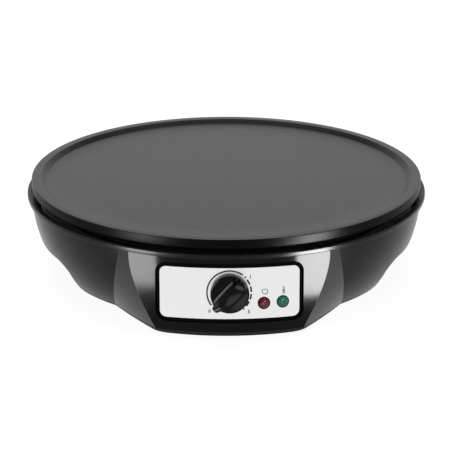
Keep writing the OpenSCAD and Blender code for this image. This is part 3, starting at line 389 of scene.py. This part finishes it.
def drawn_metal(name, color, roughness, strength):
    """Metal with fine drawn lines."""
    finish, tree, shader = new_finish(name, color, roughness, metallic=1.0)
    lines = place_group(tree, drawn_lines, Across=2600, Along=14)
    vary_color(tree, shader, lines.outputs["Lines"],
               [c * 0.93 for c in color], [min(1.0, c * 1.05) for c in color])
    add_bump(tree, shader, lines.outputs["Lines"], strength, 0.0001)
    return finish


housing_black = gloss_plastic("housing_black", (0.013, 0.013, 0.0135), 0.24, 0.32, 0.14)
# The flanks' and the front's blacks are copies of the housing's black: the flanks' has more sheen,
# a painted highlight, and the front's is darker with less sheen, painted shade.
flank_sheen_black = gloss_plastic("flank_sheen_black", (0.014, 0.014, 0.0145), 0.24, 0.32, 0.36)
front_shaded_black = gloss_plastic("front_shaded_black", (0.0015, 0.0015, 0.0016), 0.12, 0.18, 0.10)
channel_black = gloss_plastic("channel_black", (0.001, 0.001, 0.0011), 0.07, 0.12, 0.04)
knob_black = gloss_plastic("knob_black", (0.0015, 0.0015, 0.0016), 0.18, 0.27, 0.09)
cover_black = grained("cover_black", (0.012, 0.012, 0.0125), 0.5, 1400, 0.25, specular=0.3)
rubber_black = grained("rubber_black", (0.02, 0.02, 0.02), 0.75, 900, 0.2, specular=0.2)
fascia_steel = drawn_metal("fascia_steel", (0.86, 0.86, 0.865), 0.36, 0.05)
sheet_steel = drawn_metal("sheet_steel", (0.62, 0.63, 0.64), 0.36, 0.15)
turned_steel = grained("turned_steel", (0.58, 0.58, 0.59), 0.33, 1200, 0.1, metallic=1.0)
cream_ceramic = grained("cream_ceramic", (0.72, 0.68, 0.59), 0.6, 800, 0.2)
yellow_brass = grained("yellow_brass", (0.72, 0.56, 0.28), 0.3, 1200, 0.1, metallic=1.0)
red_copper = grained("red_copper", (0.66, 0.34, 0.20), 0.32, 1200, 0.1, metallic=1.0)
print("finishes:", len(bpy.data.materials))

# %% [markdown]
# ## The coated plate
# The plate is a casting that is turned on a lathe, so its whole shape is one
# outline swept round an axis. Making it that way, in place of many cut blocks,
# lets each corner have the small radius that the coating gives it, and it is
# these radii, helped by painted shade, that draw the bright and dark lines round
# the rim. The coating is a satin near-black with a fine sparkle. The outer side
# wall and the rim's inner slope get darker copies of it, which are painted
# shade, and the slope's sheen is lowered towards the rear, a painted shade that
# draws the dark line that sets off the surface.


# %% Revolved shapes
def lathe(name, outline, finish, steps=192, about=None):
    """Outline of (radius, height) in millimetres swept round Z, or round a frame's Z."""
    mesh = bpy.data.meshes.new(name)
    shape = bmesh.new()
    rings = []
    for radius, height in outline:
        if radius < 1e-6:
            rings.append([shape.verts.new((0, 0, height * MM))])
            continue
        rings.append([
            shape.verts.new((
                radius * MM * math.cos(2 * math.pi * i / steps),
                radius * MM * math.sin(2 * math.pi * i / steps), height * MM,
            ))
            for i in range(steps)
        ])
    for low, high in zip(rings, rings[1:]):
        for i in range(steps):
            j = (i + 1) % steps
            if len(low) == 1:
                shape.faces.new((low[0], high[j], high[i]))
            elif len(high) == 1:
                shape.faces.new((low[i], low[j], high[0]))
            else:
                shape.faces.new((low[i], low[j], high[j], high[i]))
    bmesh.ops.recalc_face_normals(shape, faces=shape.faces)
    shape.to_mesh(mesh)
    shape.free()
    if about is not None:
        mesh.transform(about)
    mesh.materials.append(finish)
    for face in mesh.polygons:
        face.use_smooth = True
    piece = bpy.data.objects.new(name, mesh)
    bpy.context.scene.collection.objects.link(piece)
    return piece


def arc(cx, cz, r, start, end, n=6):
    """Points of an arc in an outline, angles in degrees."""
    return [
        (cx + r * math.cos(math.radians(start + (end - start) * i / n)),
         cz + r * math.sin(math.radians(start + (end - start) * i / n)))
        for i in range(n + 1)
    ]


def sharpen(mesh, degrees):
    """Marks the edges that turn more than an angle as sharp."""
    shape = bmesh.new()
    shape.from_mesh(mesh)
    for edge in shape.edges:
        if len(edge.link_faces) == 2 and edge.calc_face_angle(0) > math.radians(degrees):
            edge.smooth = False
    shape.to_mesh(mesh)
    shape.free()


# %% The plate's outline
PLATE_R = 150.0
PLATE_TOP = 70.0
PLATE_LOW = 61.5
COOK_Z = 67.0
RIM_IN_R = 142.8
SLOPE_W = 3.6
LOW_ROUND = 2.4
TOP_ROUND = 0.9
SKIRT_R, SKIRT_W, SKIRT_LOW = 132.0, 3.0, 52.0
RIB_IN, RIB_OUT, RIB_LOW = 98.0, 112.0, 56.55
TUBE_R, TUBE_Z, GROOVE_R = 105.0, 57.35, 4.15

foot_arc = arc(RIM_IN_R - SLOPE_W - 0.6, COOK_Z + 1.1, 1.1, 270, 318, 4)
crest_arc = arc(RIM_IN_R + 0.55, PLATE_TOP - 0.7, 0.7, 130, 90, 4)
groove_half = math.degrees(math.acos((TUBE_Z - RIB_LOW) / GROOVE_R))
plate_outline = (
    [(0, COOK_Z), (60, COOK_Z), (120, COOK_Z)] + foot_arc + crest_arc
    + arc(PLATE_R - TOP_ROUND, PLATE_TOP - TOP_ROUND, TOP_ROUND, 90, 0)
    + arc(PLATE_R - LOW_ROUND, PLATE_LOW + LOW_ROUND, LOW_ROUND, 0, -90)
    + [(SKIRT_R, PLATE_LOW), (SKIRT_R, SKIRT_LOW)]
    + [(SKIRT_R - SKIRT_W, SKIRT_LOW), (SKIRT_R - SKIRT_W, PLATE_LOW)]
    + [(RIB_OUT, PLATE_LOW), (RIB_OUT, RIB_LOW)]
    + arc(TUBE_R, TUBE_Z, GROOVE_R, -90 + groove_half, 270 - groove_half, 16)
    + [(RIB_IN, RIB_LOW), (RIB_IN, PLATE_LOW), (0, PLATE_LOW)]
)


def coating(name="coating", color=(0.012, 0.012, 0.0123), low=0.24, high=0.36, specular=0.40):
    """Satin non-stick coating: dark, with a fine sparkle and a soft grain."""
    finish, tree, shader = new_finish(name, color, 0.42, specular=specular)
    grain = place_group(tree, fine_grain, Scale=2400, Patch_Scale=22)
    vary_color(tree, shader, grain.outputs["Patches"],
               [c * 0.9 for c in color], [c * 1.12 for c in color])
    span = add_node(tree, "ShaderNodeMapRange",
                    values={"From Min": 0.3, "From Max": 0.7, "To Min": low, "To Max": high},
                    links={"Value": grain.outputs["Height"]})
    tree.links.new(span.outputs["Result"], shader.inputs["Roughness"])
    add_bump(tree, shader, grain.outputs["Height"], 0.22, 0.0003)
    return finish


def paint_rear_shade(finish, front, rear):
    """Painted shade: makes a finish's sheen fall from one value at the plate's middle to another at
    its rear.
    """
    tree = finish.node_tree
    place = add_node(tree, "ShaderNodeTexCoord")
    split = add_node(tree, "ShaderNodeSeparateXYZ", links={0: place.outputs["Object"]})
    fall = add_node(
        tree, "ShaderNodeMapRange",
        values={"From Min": -0.01, "From Max": 0.09, "To Min": front, "To Max": rear},
        links={"Value": split.outputs["Y"]})
    shader = tree.nodes["Principled BSDF"]
    tree.links.new(fall.outputs["Result"], shader.inputs["Specular IOR Level"])


plate_coating = coating()
# The side wall gets a darker, duller copy of the coating: painted shade.
edge_shade_coating = coating("edge_shade_coating", (0.003, 0.003, 0.0034), 0.28, 0.42, 0.042)
# The rim's inner slope gets a darker copy of the coating, and its sheen falls towards the rear:
# painted shade that draws the dark line there.
slope_shade_coating = coating("slope_shade_coating", (0.003, 0.003, 0.0032), 0.3, 0.42, 0.1)
paint_rear_shade(slope_shade_coating, front=0.5, rear=0.08)
plate = lathe("plate_casting", plate_outline, plate_coating, steps=256)
sharpen(plate.data, 40)
plate.data.materials.append(edge_shade_coating)
plate.data.materials.append(slope_shade_coating)
EDGE_SLOT, SLOPE_SLOT = 1, 2
SIDE_FROM_R = 146
for face in plate.data.polygons:
    reach, height = face.center.xy.length / MM, face.center.z / MM
    if reach > SIDE_FROM_R and height < PLATE_TOP - 0.5:
        face.material_index = EDGE_SLOT
    elif reach > RIM_IN_R - SLOPE_W - 0.3 and height < PLATE_TOP - 0.15:
        face.material_index = SLOPE_SLOT
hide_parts("griddle_plate")
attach(plate, "base")
print("plate faces:", len(plate.data.polygons))

# %% [markdown]
# ## The moulded body
# The bowl, the lip and the pedestal are one moulding. Its solid already has
# the right shape, so the piece is a merged copy of it: the loose triangles are
# joined, surfaces that turn gently are shaded as one, and edges that turn more
# than a set angle stay crisp. The pedestal's front and its two flanks, which lie
# between it and the bowl, are picked out by where they lie and get copies of the
# black of their own: the front's is smoother and darker, with less sheen, which
# is painted shade, and the flanks' has more sheen, which is a painted highlight.


# %% Merged copies
def dress(node, name, finish, degrees=25):
    """Merged, smoothly shaded copy of a node that stands for it."""
    mesh = nodes[node].data.copy()
    mesh.name = name
    shape = bmesh.new()
    shape.from_mesh(mesh)
    bmesh.ops.remove_doubles(shape, verts=shape.verts, dist=2e-6)
    for face in shape.faces:
        face.smooth = True
        face.material_index = 0
    shape.to_mesh(mesh)
    shape.free()
    sharpen(mesh, degrees)
    mesh.materials.clear()
    mesh.materials.append(finish)
    piece = bpy.data.objects.new(name, mesh)
    bpy.context.scene.collection.objects.link(piece)
    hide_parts(node)
    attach(piece, nodes[node]["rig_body"])
    return piece


housing = dress("base_housing", "housing_moulding", housing_black, 30)
# The front's faces get the darker copy, painted shade, and the flanks' faces the glossier copy, a
# painted highlight.
housing.data.materials.append(front_shaded_black)
housing.data.materials.append(flank_sheen_black)
FRONT_SLOT, FLANK_SLOT = 1, 2
ON_CONE = 0.3
FLANK_TWIST = (math.radians(4), math.radians(40))


def on_front(face):
    """True for a face that lies on the pedestal's front cone and looks outwards."""
    corners = [v.co / MM for v in face.verts]
    if any(c.y >= -110 or abs(math.hypot(c.x, c.y) - face_radius(c.z)) >= ON_CONE for c in corners):
        return False
    turn = math.atan2(corners[0].x, -corners[0].y)
    outward = Vector((math.sin(turn), -math.cos(turn), 0.087))
    return face.normal.dot(outward) > 0.9


def on_flank(face):
    """True for a face beside the front that is turned further round than the bowl is there."""
    middle, normal = face.calc_center_median() / MM, face.normal
    beside = 60 < abs(middle.x) < 102 and middle.y < -95 and 1 < middle.z < 56.5
    if not beside or normal.dot(middle) <= 0 or abs(normal.z) >= 0.5:
        return False
    twist = math.atan2(normal.x, -normal.y) - math.atan2(middle.x, -middle.y)
    return FLANK_TWIST[0] < twist * math.copysign(1, middle.x) < FLANK_TWIST[1]


moulding = bmesh.new()
moulding.from_mesh(housing.data)
for face in moulding.faces:
    if on_front(face):
        face.material_index = FRONT_SLOT
    elif on_flank(face):
        face.material_index = FLANK_SLOT
for edge in moulding.edges:
    if len({face.material_index for face in edge.link_faces}) > 1:
        edge.smooth = False
moulding.to_mesh(housing.data)
moulding.free()
picked = [face.material_index for face in housing.data.polygons]
print("front faces:", picked.count(FRONT_SLOT), "flank faces:", picked.count(FLANK_SLOT))
cover = dress("bottom_cover", "underside_cover", cover_black)
feet = dress("rubber_feet", "rubber_pads", rubber_black)
channel = dress("panel_frame", "panel_channel", channel_black)
panel = dress("fascia", "steel_panel", fascia_steel)
bush = dress("cord_bush", "inlet_bush", cover_black)
print("copies:", [p.name for p in (housing, cover, feet, channel, panel, bush)])

# %% [markdown]
# ## Finishes for what the housing hides
# The parts inside keep their solids. Each still gets the finish of the real
# thing, because the vents and any cut-away view show them.

# %% Inner finishes
SLEEVES = {
    "live_lead": (0.20, 0.09, 0.04), "switched_lead": (0.62, 0.60, 0.54),
    "fuse_lead": (0.62, 0.60, 0.54), "neutral_lead": (0.05, 0.16, 0.36),
    "earth_lead": (0.22, 0.42, 0.08), "lamp_leads": (0.55, 0.07, 0.05),
}
INNER = {
    turned_steel: [
        "element_pins", "plate_screws", "plate_studs", "stud_nuts", "shield_screws", "cover_screws",
        "bracket_screws", "thermostat_nut", "shield_rivets", "thermostat_shaft", "heating_element",
    ],
    sheet_steel: [
        "element_saddles", "heat_shield", "fascia_clips", "knob_spring", "thermostat_bracket",
        "bulb_clip", "lamp_clips", "fuse_clip",
    ],
    cream_ceramic: [
        "element_insulators", "stud_spacers", "thermostat_body", "thermal_fuse", "terminal_block",
    ],
    yellow_brass: ["terminal_screws", "earth_tag"],
    red_copper: ["sensor_bulb"],
    rubber_black: ["lamp_rings"],
}


def paint(node, finish):
    """Gives a node its finish and leaves its shape alone."""
    mesh = nodes[node].data
    mesh.materials.clear()
    mesh.materials.append(finish)


for finish, names in INNER.items():
    for name in names:
        paint(name, finish)
for name, color in SLEEVES.items():
    paint(name, grained("sleeve_" + name, color, 0.45, 700, 0.1))
neon_glass, _, neon_shader = new_finish("neon_glass", (0.95, 0.75, 0.55), 0.08)
neon_shader.inputs["Transmission Weight"].default_value = 0.9
paint("neon_lamps", neon_glass)
print("painted:", sum(len(n) for n in INNER.values()) + len(SLEEVES) + 1)

# %% [markdown]
# ## The knob
# The knob is moulded in one piece: a low disc with a grip bar across it. The
# bar's sides are hollowed for the fingers, its upper end is rounded, and its
# pointing end slopes down past the disc as a small nose. Booleans would leave
# hard creases here, so the top is a sheet of points in rows along the bar, and
# each point is given its height. The wall, the underside and the hole for the
# shaft hang from the sheet's border.

# %% The knob's form
KNOB_R = 13.7
KNOB_BASE = 0.4
KNOB_TOP = 13.9
KNOB_WALL = 1.9
HUB_R = 6.2
SHAFT_HOLE_R = 3.15
SHAFT_HOLE_DEPTH = 10.7
DISC_H = 5.6
DISC_ROUND = 1.3
NOSE = 15.9
GRIP_HALF = 3.6
SCOOP_W = 4.0


def clamp(value):
    """Value held between 0 and 1."""
    return max(0.0, min(1.0, value))


def grip_half(u):
    """Half of the bar's width at its crest, at a place along the bar."""
    if u > 0:
        return GRIP_HALF - 1.3 * clamp(u / NOSE) ** 1.3
    end = clamp((-u - 8.2) / 5.6)
    return (GRIP_HALF + 0.25 * clamp(-u / 8)) * math.sqrt(max(0.0, 1 - end * end)) + 0.02


def crest_height(u):
    """Height of the bar's crest: a low dome that falls away at both ends."""
    dome = KNOB_TOP - u * u / 110
    slope = 13.4 - (u - 8.7)
    low_end = 0.5 * (dome + slope - math.sqrt((dome - slope) ** 2 + 0.8))
    far_end = clamp((-u - 7.5) / 6.6)
    return low_end - 4.6 * (1 - math.sqrt(1 - far_end * far_end))


def knob_height(u, v):
    """Height of the knob's top skin at a point."""
    reach = math.hypot(u, v)
    disc = DISC_H - reach * reach / 220
    inner = KNOB_R - DISC_ROUND
    if reach > inner:
        over = min(1.0, (reach - inner) / DISC_ROUND)
        disc -= DISC_ROUND * (1 - math.sqrt(1 - over * over))
    aside = (abs(v) - grip_half(u)) / SCOOP_W
    if aside >= 1:
        return disc
    crest = crest_height(u)
    if aside <= 0:
        crown = 0.35 * (abs(v) / max(grip_half(u), 0.3)) ** 2
        return max(disc, crest - crown)
    hollow = 1 - (1 - (1 - aside) ** 2.4) ** 0.55
    return disc + max(0.0, crest - 0.35 - disc) * hollow


# %% The knob's mesh
def border_reach(v):
    """How far the top skin reaches along the bar, towards the nose, in one row."""
    circle = math.sqrt(max(0.0, (KNOB_R - 0.08) ** 2 - v * v))
    if abs(v) > 2.75:
        return circle
    nose = NOSE - 1.1 * (abs(v) / 2.3) ** 4
    return max(circle, nose)


def build_knob(name, finish):
    """Knob in its own frame: X along the pointer, Z out of the panel, in millimetres."""
    # Rows lie closer together at the bar's edge and near the rim, where the skin bends most.
    side = [
        0, 0.6, 1.2, 1.8, 2.2, 2.5, 2.72, 2.8, 3.0, 3.2, 3.35, 3.48, 3.58, 3.66, 3.75, 3.85, 4.0,
        4.2, 4.45, 4.75, 5.1, 5.6, 6.2, 6.9, 7.6, 8.4, 9.2, 10.0, 10.7, 11.3, 11.8, 12.2, 12.55,
        12.85, 13.1, 13.3, 13.45, 13.56,
    ]
    rows = [-v for v in side[:0:-1]] + side
    columns = 72
    shape = bmesh.new()
    sheet = []
    for v in rows:
        near = border_reach(v)
        far = -math.sqrt(max(0.0, (KNOB_R - 0.08) ** 2 - v * v))
        row = []
        for k in range(columns + 1):
            blend = 0.5 + 0.5 * math.sin(math.pi * (k / columns - 0.5))
            blend = 0.5 * blend + 0.5 * k / columns
            u = far + (near - far) * blend
            row.append(shape.verts.new((u, v, knob_height(u, v))))
        sheet.append(row)
    for low, high in zip(sheet, sheet[1:]):
        for k in range(columns):
            shape.faces.new((low[k], low[k + 1], high[k + 1], high[k]))
    border = ([row[-1] for row in sheet] + sheet[-1][-2::-1]
              + [row[0] for row in sheet[-2::-1]] + sheet[0][1:-1])
    corners = [v.co.copy() for v in border]

    def ring(radius, height, keep=False):
        """The border moved to a radius and a height, or only to the height."""
        made = []
        for c in corners:
            reach = math.hypot(c.x, c.y)
            scale = 1.0 if keep else radius / reach
            made.append(shape.verts.new((c.x * scale, c.y * scale, min(height, c.z - 0.02))))
        return made

    rings = [
        border, ring(0, 4.0, keep=True), ring(KNOB_R, 3.4), ring(KNOB_R, 0.3),
        ring(KNOB_R - 0.3, 0), ring(KNOB_R - KNOB_WALL, 0), ring(KNOB_R - KNOB_WALL, 3.0),
        ring(HUB_R, 3.0), ring(HUB_R, 0), ring(SHAFT_HOLE_R, 0),
        ring(SHAFT_HOLE_R, SHAFT_HOLE_DEPTH),
    ]
    count = len(border)
    for upper, lower in zip(rings, rings[1:]):
        for i in range(count):
            j = (i + 1) % count
            shape.faces.new((upper[i], upper[j], lower[j], lower[i]))
    cap = shape.verts.new((0, 0, SHAFT_HOLE_DEPTH))
    for i in range(count):
        shape.faces.new((rings[-1][i], rings[-1][(i + 1) % count], cap))
    bmesh.ops.remove_doubles(shape, verts=shape.verts, dist=0.004)
    bmesh.ops.dissolve_degenerate(shape, edges=shape.edges, dist=0.002)
    bmesh.ops.recalc_face_normals(shape, faces=shape.faces)
    bmesh.ops.scale(shape, vec=(MM, MM, MM), verts=shape.verts)
    mesh = bpy.data.meshes.new(name)
    shape.to_mesh(mesh)
    shape.free()
    mesh.materials.append(finish)
    for face in mesh.polygons:
        face.use_smooth = True
    return mesh


def add_piece(mesh, node, body=None, degrees=None, place=None):
    """Object for a finished mesh that stands for a node, or rides on a body."""
    if place is not None:
        mesh.transform(place)
    if degrees is not None:
        sharpen(mesh, degrees)
    piece = bpy.data.objects.new(mesh.name, mesh)
    bpy.context.scene.collection.objects.link(piece)
    if node:
        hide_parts(node)
    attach(piece, body or nodes[node]["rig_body"])
    return piece


knob_frame = (face_matrix(0, KNOB_Z) @ Matrix.Rotation(POINTER, 4, "Z")
              @ Matrix.Translation((0, 0, KNOB_BASE * MM)))
knob = add_piece(
    build_knob("heat_knob", knob_black), "knob", degrees=50, place=knob_frame)
print("knob faces:", len(knob.data.polygons))


# %% The pointer's line
POINTER_FROM = 10.1
POINTER_HALF = 0.45


def build_pointer(name, finish):
    """White line that lies on the bar's end slope and follows it."""
    shape = bmesh.new()
    half = POINTER_HALF
    steps = 24
    rings = []
    for k in range(steps + 1):
        u = POINTER_FROM + (NOSE - 0.12 - POINTER_FROM) * k / steps
        top = knob_height(u, 0) + 0.05
        low = top - 0.5
        rings.append([shape.verts.new((u, v, z)) for v, z in (
            (-half, low), (-half, top - 0.04), (-half + 0.06, top),
            (half - 0.06, top), (half, top - 0.04), (half, low))])
    for first, second in zip(rings, rings[1:]):
        for i in range(6):
            j = (i + 1) % 6
            shape.faces.new((first[i], first[j], second[j], second[i]))
    shape.faces.new(rings[0][::-1])
    shape.faces.new(rings[-1])
    bmesh.ops.recalc_face_normals(shape, faces=shape.faces)
    bmesh.ops.scale(shape, vec=(MM, MM, MM), verts=shape.verts)
    mesh = bpy.data.meshes.new(name)
    shape.to_mesh(mesh)
    shape.free()
    mesh.materials.append(finish)
    return mesh


white_paint = grained("white_paint", (0.82, 0.82, 0.81), 0.45, 900, 0.1)
pointer = add_piece(
    build_pointer("pointer_line", white_paint), "knob_pointer", place=knob_frame)
print("pointer faces:", len(pointer.data.polygons))

# %% [markdown]
# ## The dial's print
# The panel carries a printed scale round the knob: a solid line for the part
# of the turn that leaves the heat off, dots at its stops and dashes between
# them. Marks that repeat round a circle are a job for Geometry Nodes, so one
# tree draws an arc as a thin strip and repeats it by a fixed turn. The strips
# are drawn flat and then bent onto the panel's cone, a hair above the steel.

# %% A tree for arcs that repeat
PRINT_T = 0.14
DIAL_X = -0.2
DIAL_Y = 0.3


def build_arc_tree():
    """Strips on an arc: their number, radius, sweep, turn from one to the next, and width."""
    tree = bpy.data.node_groups.new("dial_arcs", "GeometryNodeTree")
    inputs = (("Count", "NodeSocketInt", 1), ("Radius", "NodeSocketFloat", 15.8),
              ("Start", "NodeSocketFloat", 0.0), ("Sweep", "NodeSocketFloat", 0.2),
              ("Step", "NodeSocketFloat", -0.35), ("Width", "NodeSocketFloat", 0.8),
              ("Thickness", "NodeSocketFloat", PRINT_T), ("Ink", "NodeSocketMaterial", None))
    for label, kind, value in inputs:
        socket = tree.interface.new_socket(label, in_out="INPUT", socket_type=kind)
        if value is not None:
            socket.default_value = value
    tree.interface.new_socket("Geometry", in_out="OUTPUT", socket_type="NodeSocketGeometry")
    start = tree.nodes.new("NodeGroupInput")
    end = tree.nodes.new("NodeGroupOutput")
    arc_line = add_node(tree, "GeometryNodeCurveArc", {"mode": "RADIUS"}, {"Resolution": 96},
                        {"Radius": start.outputs["Radius"], "Start Angle": start.outputs["Start"],
                         "Sweep Angle": start.outputs["Sweep"]})
    upright = add_node(tree, "GeometryNodeSetCurveNormal", {"mode": "Z_UP"},
                       links={0: arc_line.outputs[0]})
    section = add_node(
        tree, "GeometryNodeCurvePrimitiveQuadrilateral", {"mode": "RECTANGLE"},
        links={"Width": start.outputs["Width"], "Height": start.outputs["Thickness"]})
    strip = add_node(tree, "GeometryNodeCurveToMesh", values={"Fill Caps": True},
                     links={"Curve": upright.outputs[0], "Profile Curve": section.outputs[0]})
    places = add_node(tree, "GeometryNodeMeshLine", {"mode": "OFFSET"}, {"Offset": (0, 0, 0)},
                      {"Count": start.outputs["Count"]})
    number = add_node(tree, "GeometryNodeInputIndex")
    turn = add_node(tree, "ShaderNodeMath", {"operation": "MULTIPLY"},
                    links={0: number.outputs[0], 1: start.outputs["Step"]})
    spin = add_node(tree, "ShaderNodeCombineXYZ", links={"Z": turn.outputs[0]})
    copies = add_node(tree, "GeometryNodeInstanceOnPoints",
                      links={"Points": places.outputs[0], "Instance": strip.outputs[0],
                             "Rotation": spin.outputs[0]})
    real = add_node(tree, "GeometryNodeRealizeInstances", links={"Geometry": copies.outputs[0]})
    inked = add_node(tree, "GeometryNodeSetMaterial",
                     links={"Geometry": real.outputs[0], "Material": start.outputs["Ink"]})
    tree.links.new(inked.outputs[0], end.inputs["Geometry"])
    return tree


def grow(name, tree, values):
    """Mesh that a tree makes with a set of input values."""
    holder = bpy.data.objects.new(name, bpy.data.meshes.new(name + "_seed"))
    bpy.context.scene.collection.objects.link(holder)
    growth = holder.modifiers.new("growth", "NODES")
    growth.node_group = tree
    for item in tree.interface.items_tree:
        if item.item_type == "SOCKET" and item.in_out == "INPUT" and item.name in values:
            growth[item.identifier] = values[item.name]
    seen = holder.evaluated_get(bpy.context.evaluated_depsgraph_get())
    mesh = bpy.data.meshes.new_from_object(seen)
    mesh.name = name
    holder.modifiers.remove(growth)
    bpy.data.objects.remove(holder)
    return mesh


arc_tree = build_arc_tree()
print("tree inputs:", [i.name for i in arc_tree.interface.items_tree if i.in_out == "INPUT"])


# %% Print on the panel
def outline_mesh(name, points, width, closed=False):
    """Thin printed line through points, as a strip with a thickness."""
    shape = bmesh.new()
    count = len(points)
    half = PRINT_T / 2
    rings = []
    for i, point in enumerate(points):
        before = points[i - 1] if i or closed else point
        after = points[(i + 1) % count] if i < count - 1 or closed else point
        along = (Vector(after) - Vector(before)).normalized()
        aside = Vector((-along.y, along.x)) * width / 2
        rings.append([shape.verts.new((point[0] + k * aside.x, point[1] + k * aside.y, z))
                      for k, z in ((1, half), (1, -half), (-1, -half), (-1, half))])
    pairs = list(zip(rings, rings[1:] + ([rings[0]] if closed else [])))
    for first, second in pairs:
        for k in range(4):
            shape.faces.new((first[k], first[(k + 1) % 4], second[(k + 1) % 4], second[k]))
    if not closed:
        shape.faces.new(rings[0])
        shape.faces.new(rings[-1][::-1])
    mesh = bpy.data.meshes.new(name)
    shape.to_mesh(mesh)
    shape.free()
    return mesh


def figure_mesh(text, height, x, y):
    """A plain figure as a thin solid, centred on a point."""
    words = bpy.data.curves.new("figure_" + text, "FONT")
    words.body = text
    words.size = height * 1.42
    words.extrude = PRINT_T / 2
    words.offset = 0.05
    words.align_x = "CENTER"
    words.align_y = "CENTER"
    words.resolution_u = 3
    holder = bpy.data.objects.new("figure_" + text, words)
    bpy.context.scene.collection.objects.link(holder)
    seen = holder.evaluated_get(bpy.context.evaluated_depsgraph_get())
    mesh = bpy.data.meshes.new_from_object(seen)
    bpy.data.objects.remove(holder)
    mesh.transform(Matrix.Translation((x, y, 0)))
    return mesh


def print_piece(name, meshes, ink, lift=0.15):
    """Joins flat printed meshes, bends them onto the panel and makes them one piece."""
    shape = bmesh.new()
    for mesh in meshes:
        shape.from_mesh(mesh)
        bpy.data.meshes.remove(mesh)
    bmesh.ops.remove_doubles(shape, verts=shape.verts, dist=1e-4)
    bmesh.ops.recalc_face_normals(shape, faces=shape.faces)
    for v in shape.verts:
        v.co = on_face(v.co.x, v.co.y, FASCIA_OUT + lift + v.co.z - PRINT_T / 2, KNOB_Z)
    joined = bpy.data.meshes.new(name)
    for face in shape.faces:
        face.material_index = 0
        face.smooth = False
    shape.to_mesh(joined)
    shape.free()
    joined.materials.clear()
    joined.materials.append(ink)
    return add_piece(joined, None, body=nodes["fascia"]["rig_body"])


def ring_points(x, y, radius, start, sweep, n=24):
    """Points on an arc, angles in degrees."""
    return [(x + radius * math.cos(math.radians(start + sweep * i / n)),
             y + radius * math.sin(math.radians(start + sweep * i / n))) for i in range(n + 1)]


black_ink = grained("black_ink", (0.012, 0.012, 0.012), 0.5, 900, 0.1, specular=0.2)
grey_ink = grained("grey_ink", (0.06, 0.06, 0.063), 0.5, 900, 0.1, specular=0.2)
pale_ink = grained("pale_ink", (0.22, 0.22, 0.225), 0.5, 900, 0.1, specular=0.2)

ring_mark = grow("ring_mark", arc_tree, {
    "Count": 1, "Radius": 15.85, "Start": math.radians(54), "Sweep": math.radians(162),
    "Width": 1.0, "Thickness": PRINT_T, "Ink": black_ink})
dash_marks = grow("dash_marks", arc_tree, {
    "Count": 4, "Radius": 15.4, "Start": math.radians(36.5), "Sweep": math.radians(-15),
    "Step": math.radians(-20.8), "Width": 1.15, "Thickness": PRINT_T, "Ink": black_ink})
for mesh in (ring_mark, dash_marks):
    mesh.transform(Matrix.Translation((DIAL_X, DIAL_Y, 0)))
dots = [outline_mesh("dot", ring_points(x, y, 0.3, 0, 330, 11), 0.6, closed=True)
        for x, y in ((-11.9, -11.6), (11.1, 11.4), (9.8, -11.9))]
dial_marks = print_piece("dial_marks", [ring_mark, dash_marks] + dots, black_ink)
dial_numbers = print_piece("dial_numbers", [
    figure_mesh("0", 2.4, -14.2, -13.5),
    figure_mesh("1", 2.6, 14.6, 11.5),
    figure_mesh("5", 2.6, 13.4, -14.1),
], grey_ink)
POWER_X, HEAT_X = 24.9, 38.5
bulb_points = (
    ring_points(HEAT_X, -1.5, 0.75, 130, 280, 16) + [(HEAT_X + 0.48, 2.2)]
    + ring_points(HEAT_X, 2.3, 0.48, 0, 180, 8) + [(HEAT_X - 0.48, -0.9)]
)
lamp_icons = print_piece("lamp_icons", [
    outline_mesh("power_ring", ring_points(POWER_X, 0.4, 2.0, 120, 300, 30), 0.42),
    outline_mesh("power_line", [(POWER_X, 0.9), (POWER_X, 2.7)], 0.42),
    outline_mesh("bulb", bulb_points, 0.3, closed=True),
    outline_mesh("column", [(HEAT_X, -1.6), (HEAT_X, 0.9)], 0.3),
], pale_ink)
print("print faces:", [len(p.data.polygons) for p in (dial_marks, dial_numbers, lamp_icons)])

# %% Lenses
red_clear = gloss_plastic("red_clear", (0.5, 0.02, 0.03), 0.05, 0.09, 0.35)
green_clear = gloss_plastic("green_clear", (0.012, 0.5, 0.32), 0.05, 0.09, 0.35)
red_lens = dress("red_lens", "red_lens_dome", red_clear)
green_lens = dress("green_lens", "green_lens_dome", green_clear)

# %% [markdown]
# ## What the strips and cards light
# The strips are there for the reflections in the black plastic. On the bright
# steel they would be far too strong, so each strip is linked to the black
# pieces only, and the small cards to the knob and the lenses.

# %% Light links
gloss_pieces = bpy.data.collections.new("gloss_pieces")
for piece in (housing, plate):
    gloss_pieces.objects.link(piece)
for strip in strips:
    strip.light_linking.receiver_collection = gloss_pieces
small_pieces = bpy.data.collections.new("small_pieces")
for piece in (knob, red_lens, green_lens):
    small_pieces.objects.link(piece)
for card in cards:
    card.light_linking.receiver_collection = small_pieces
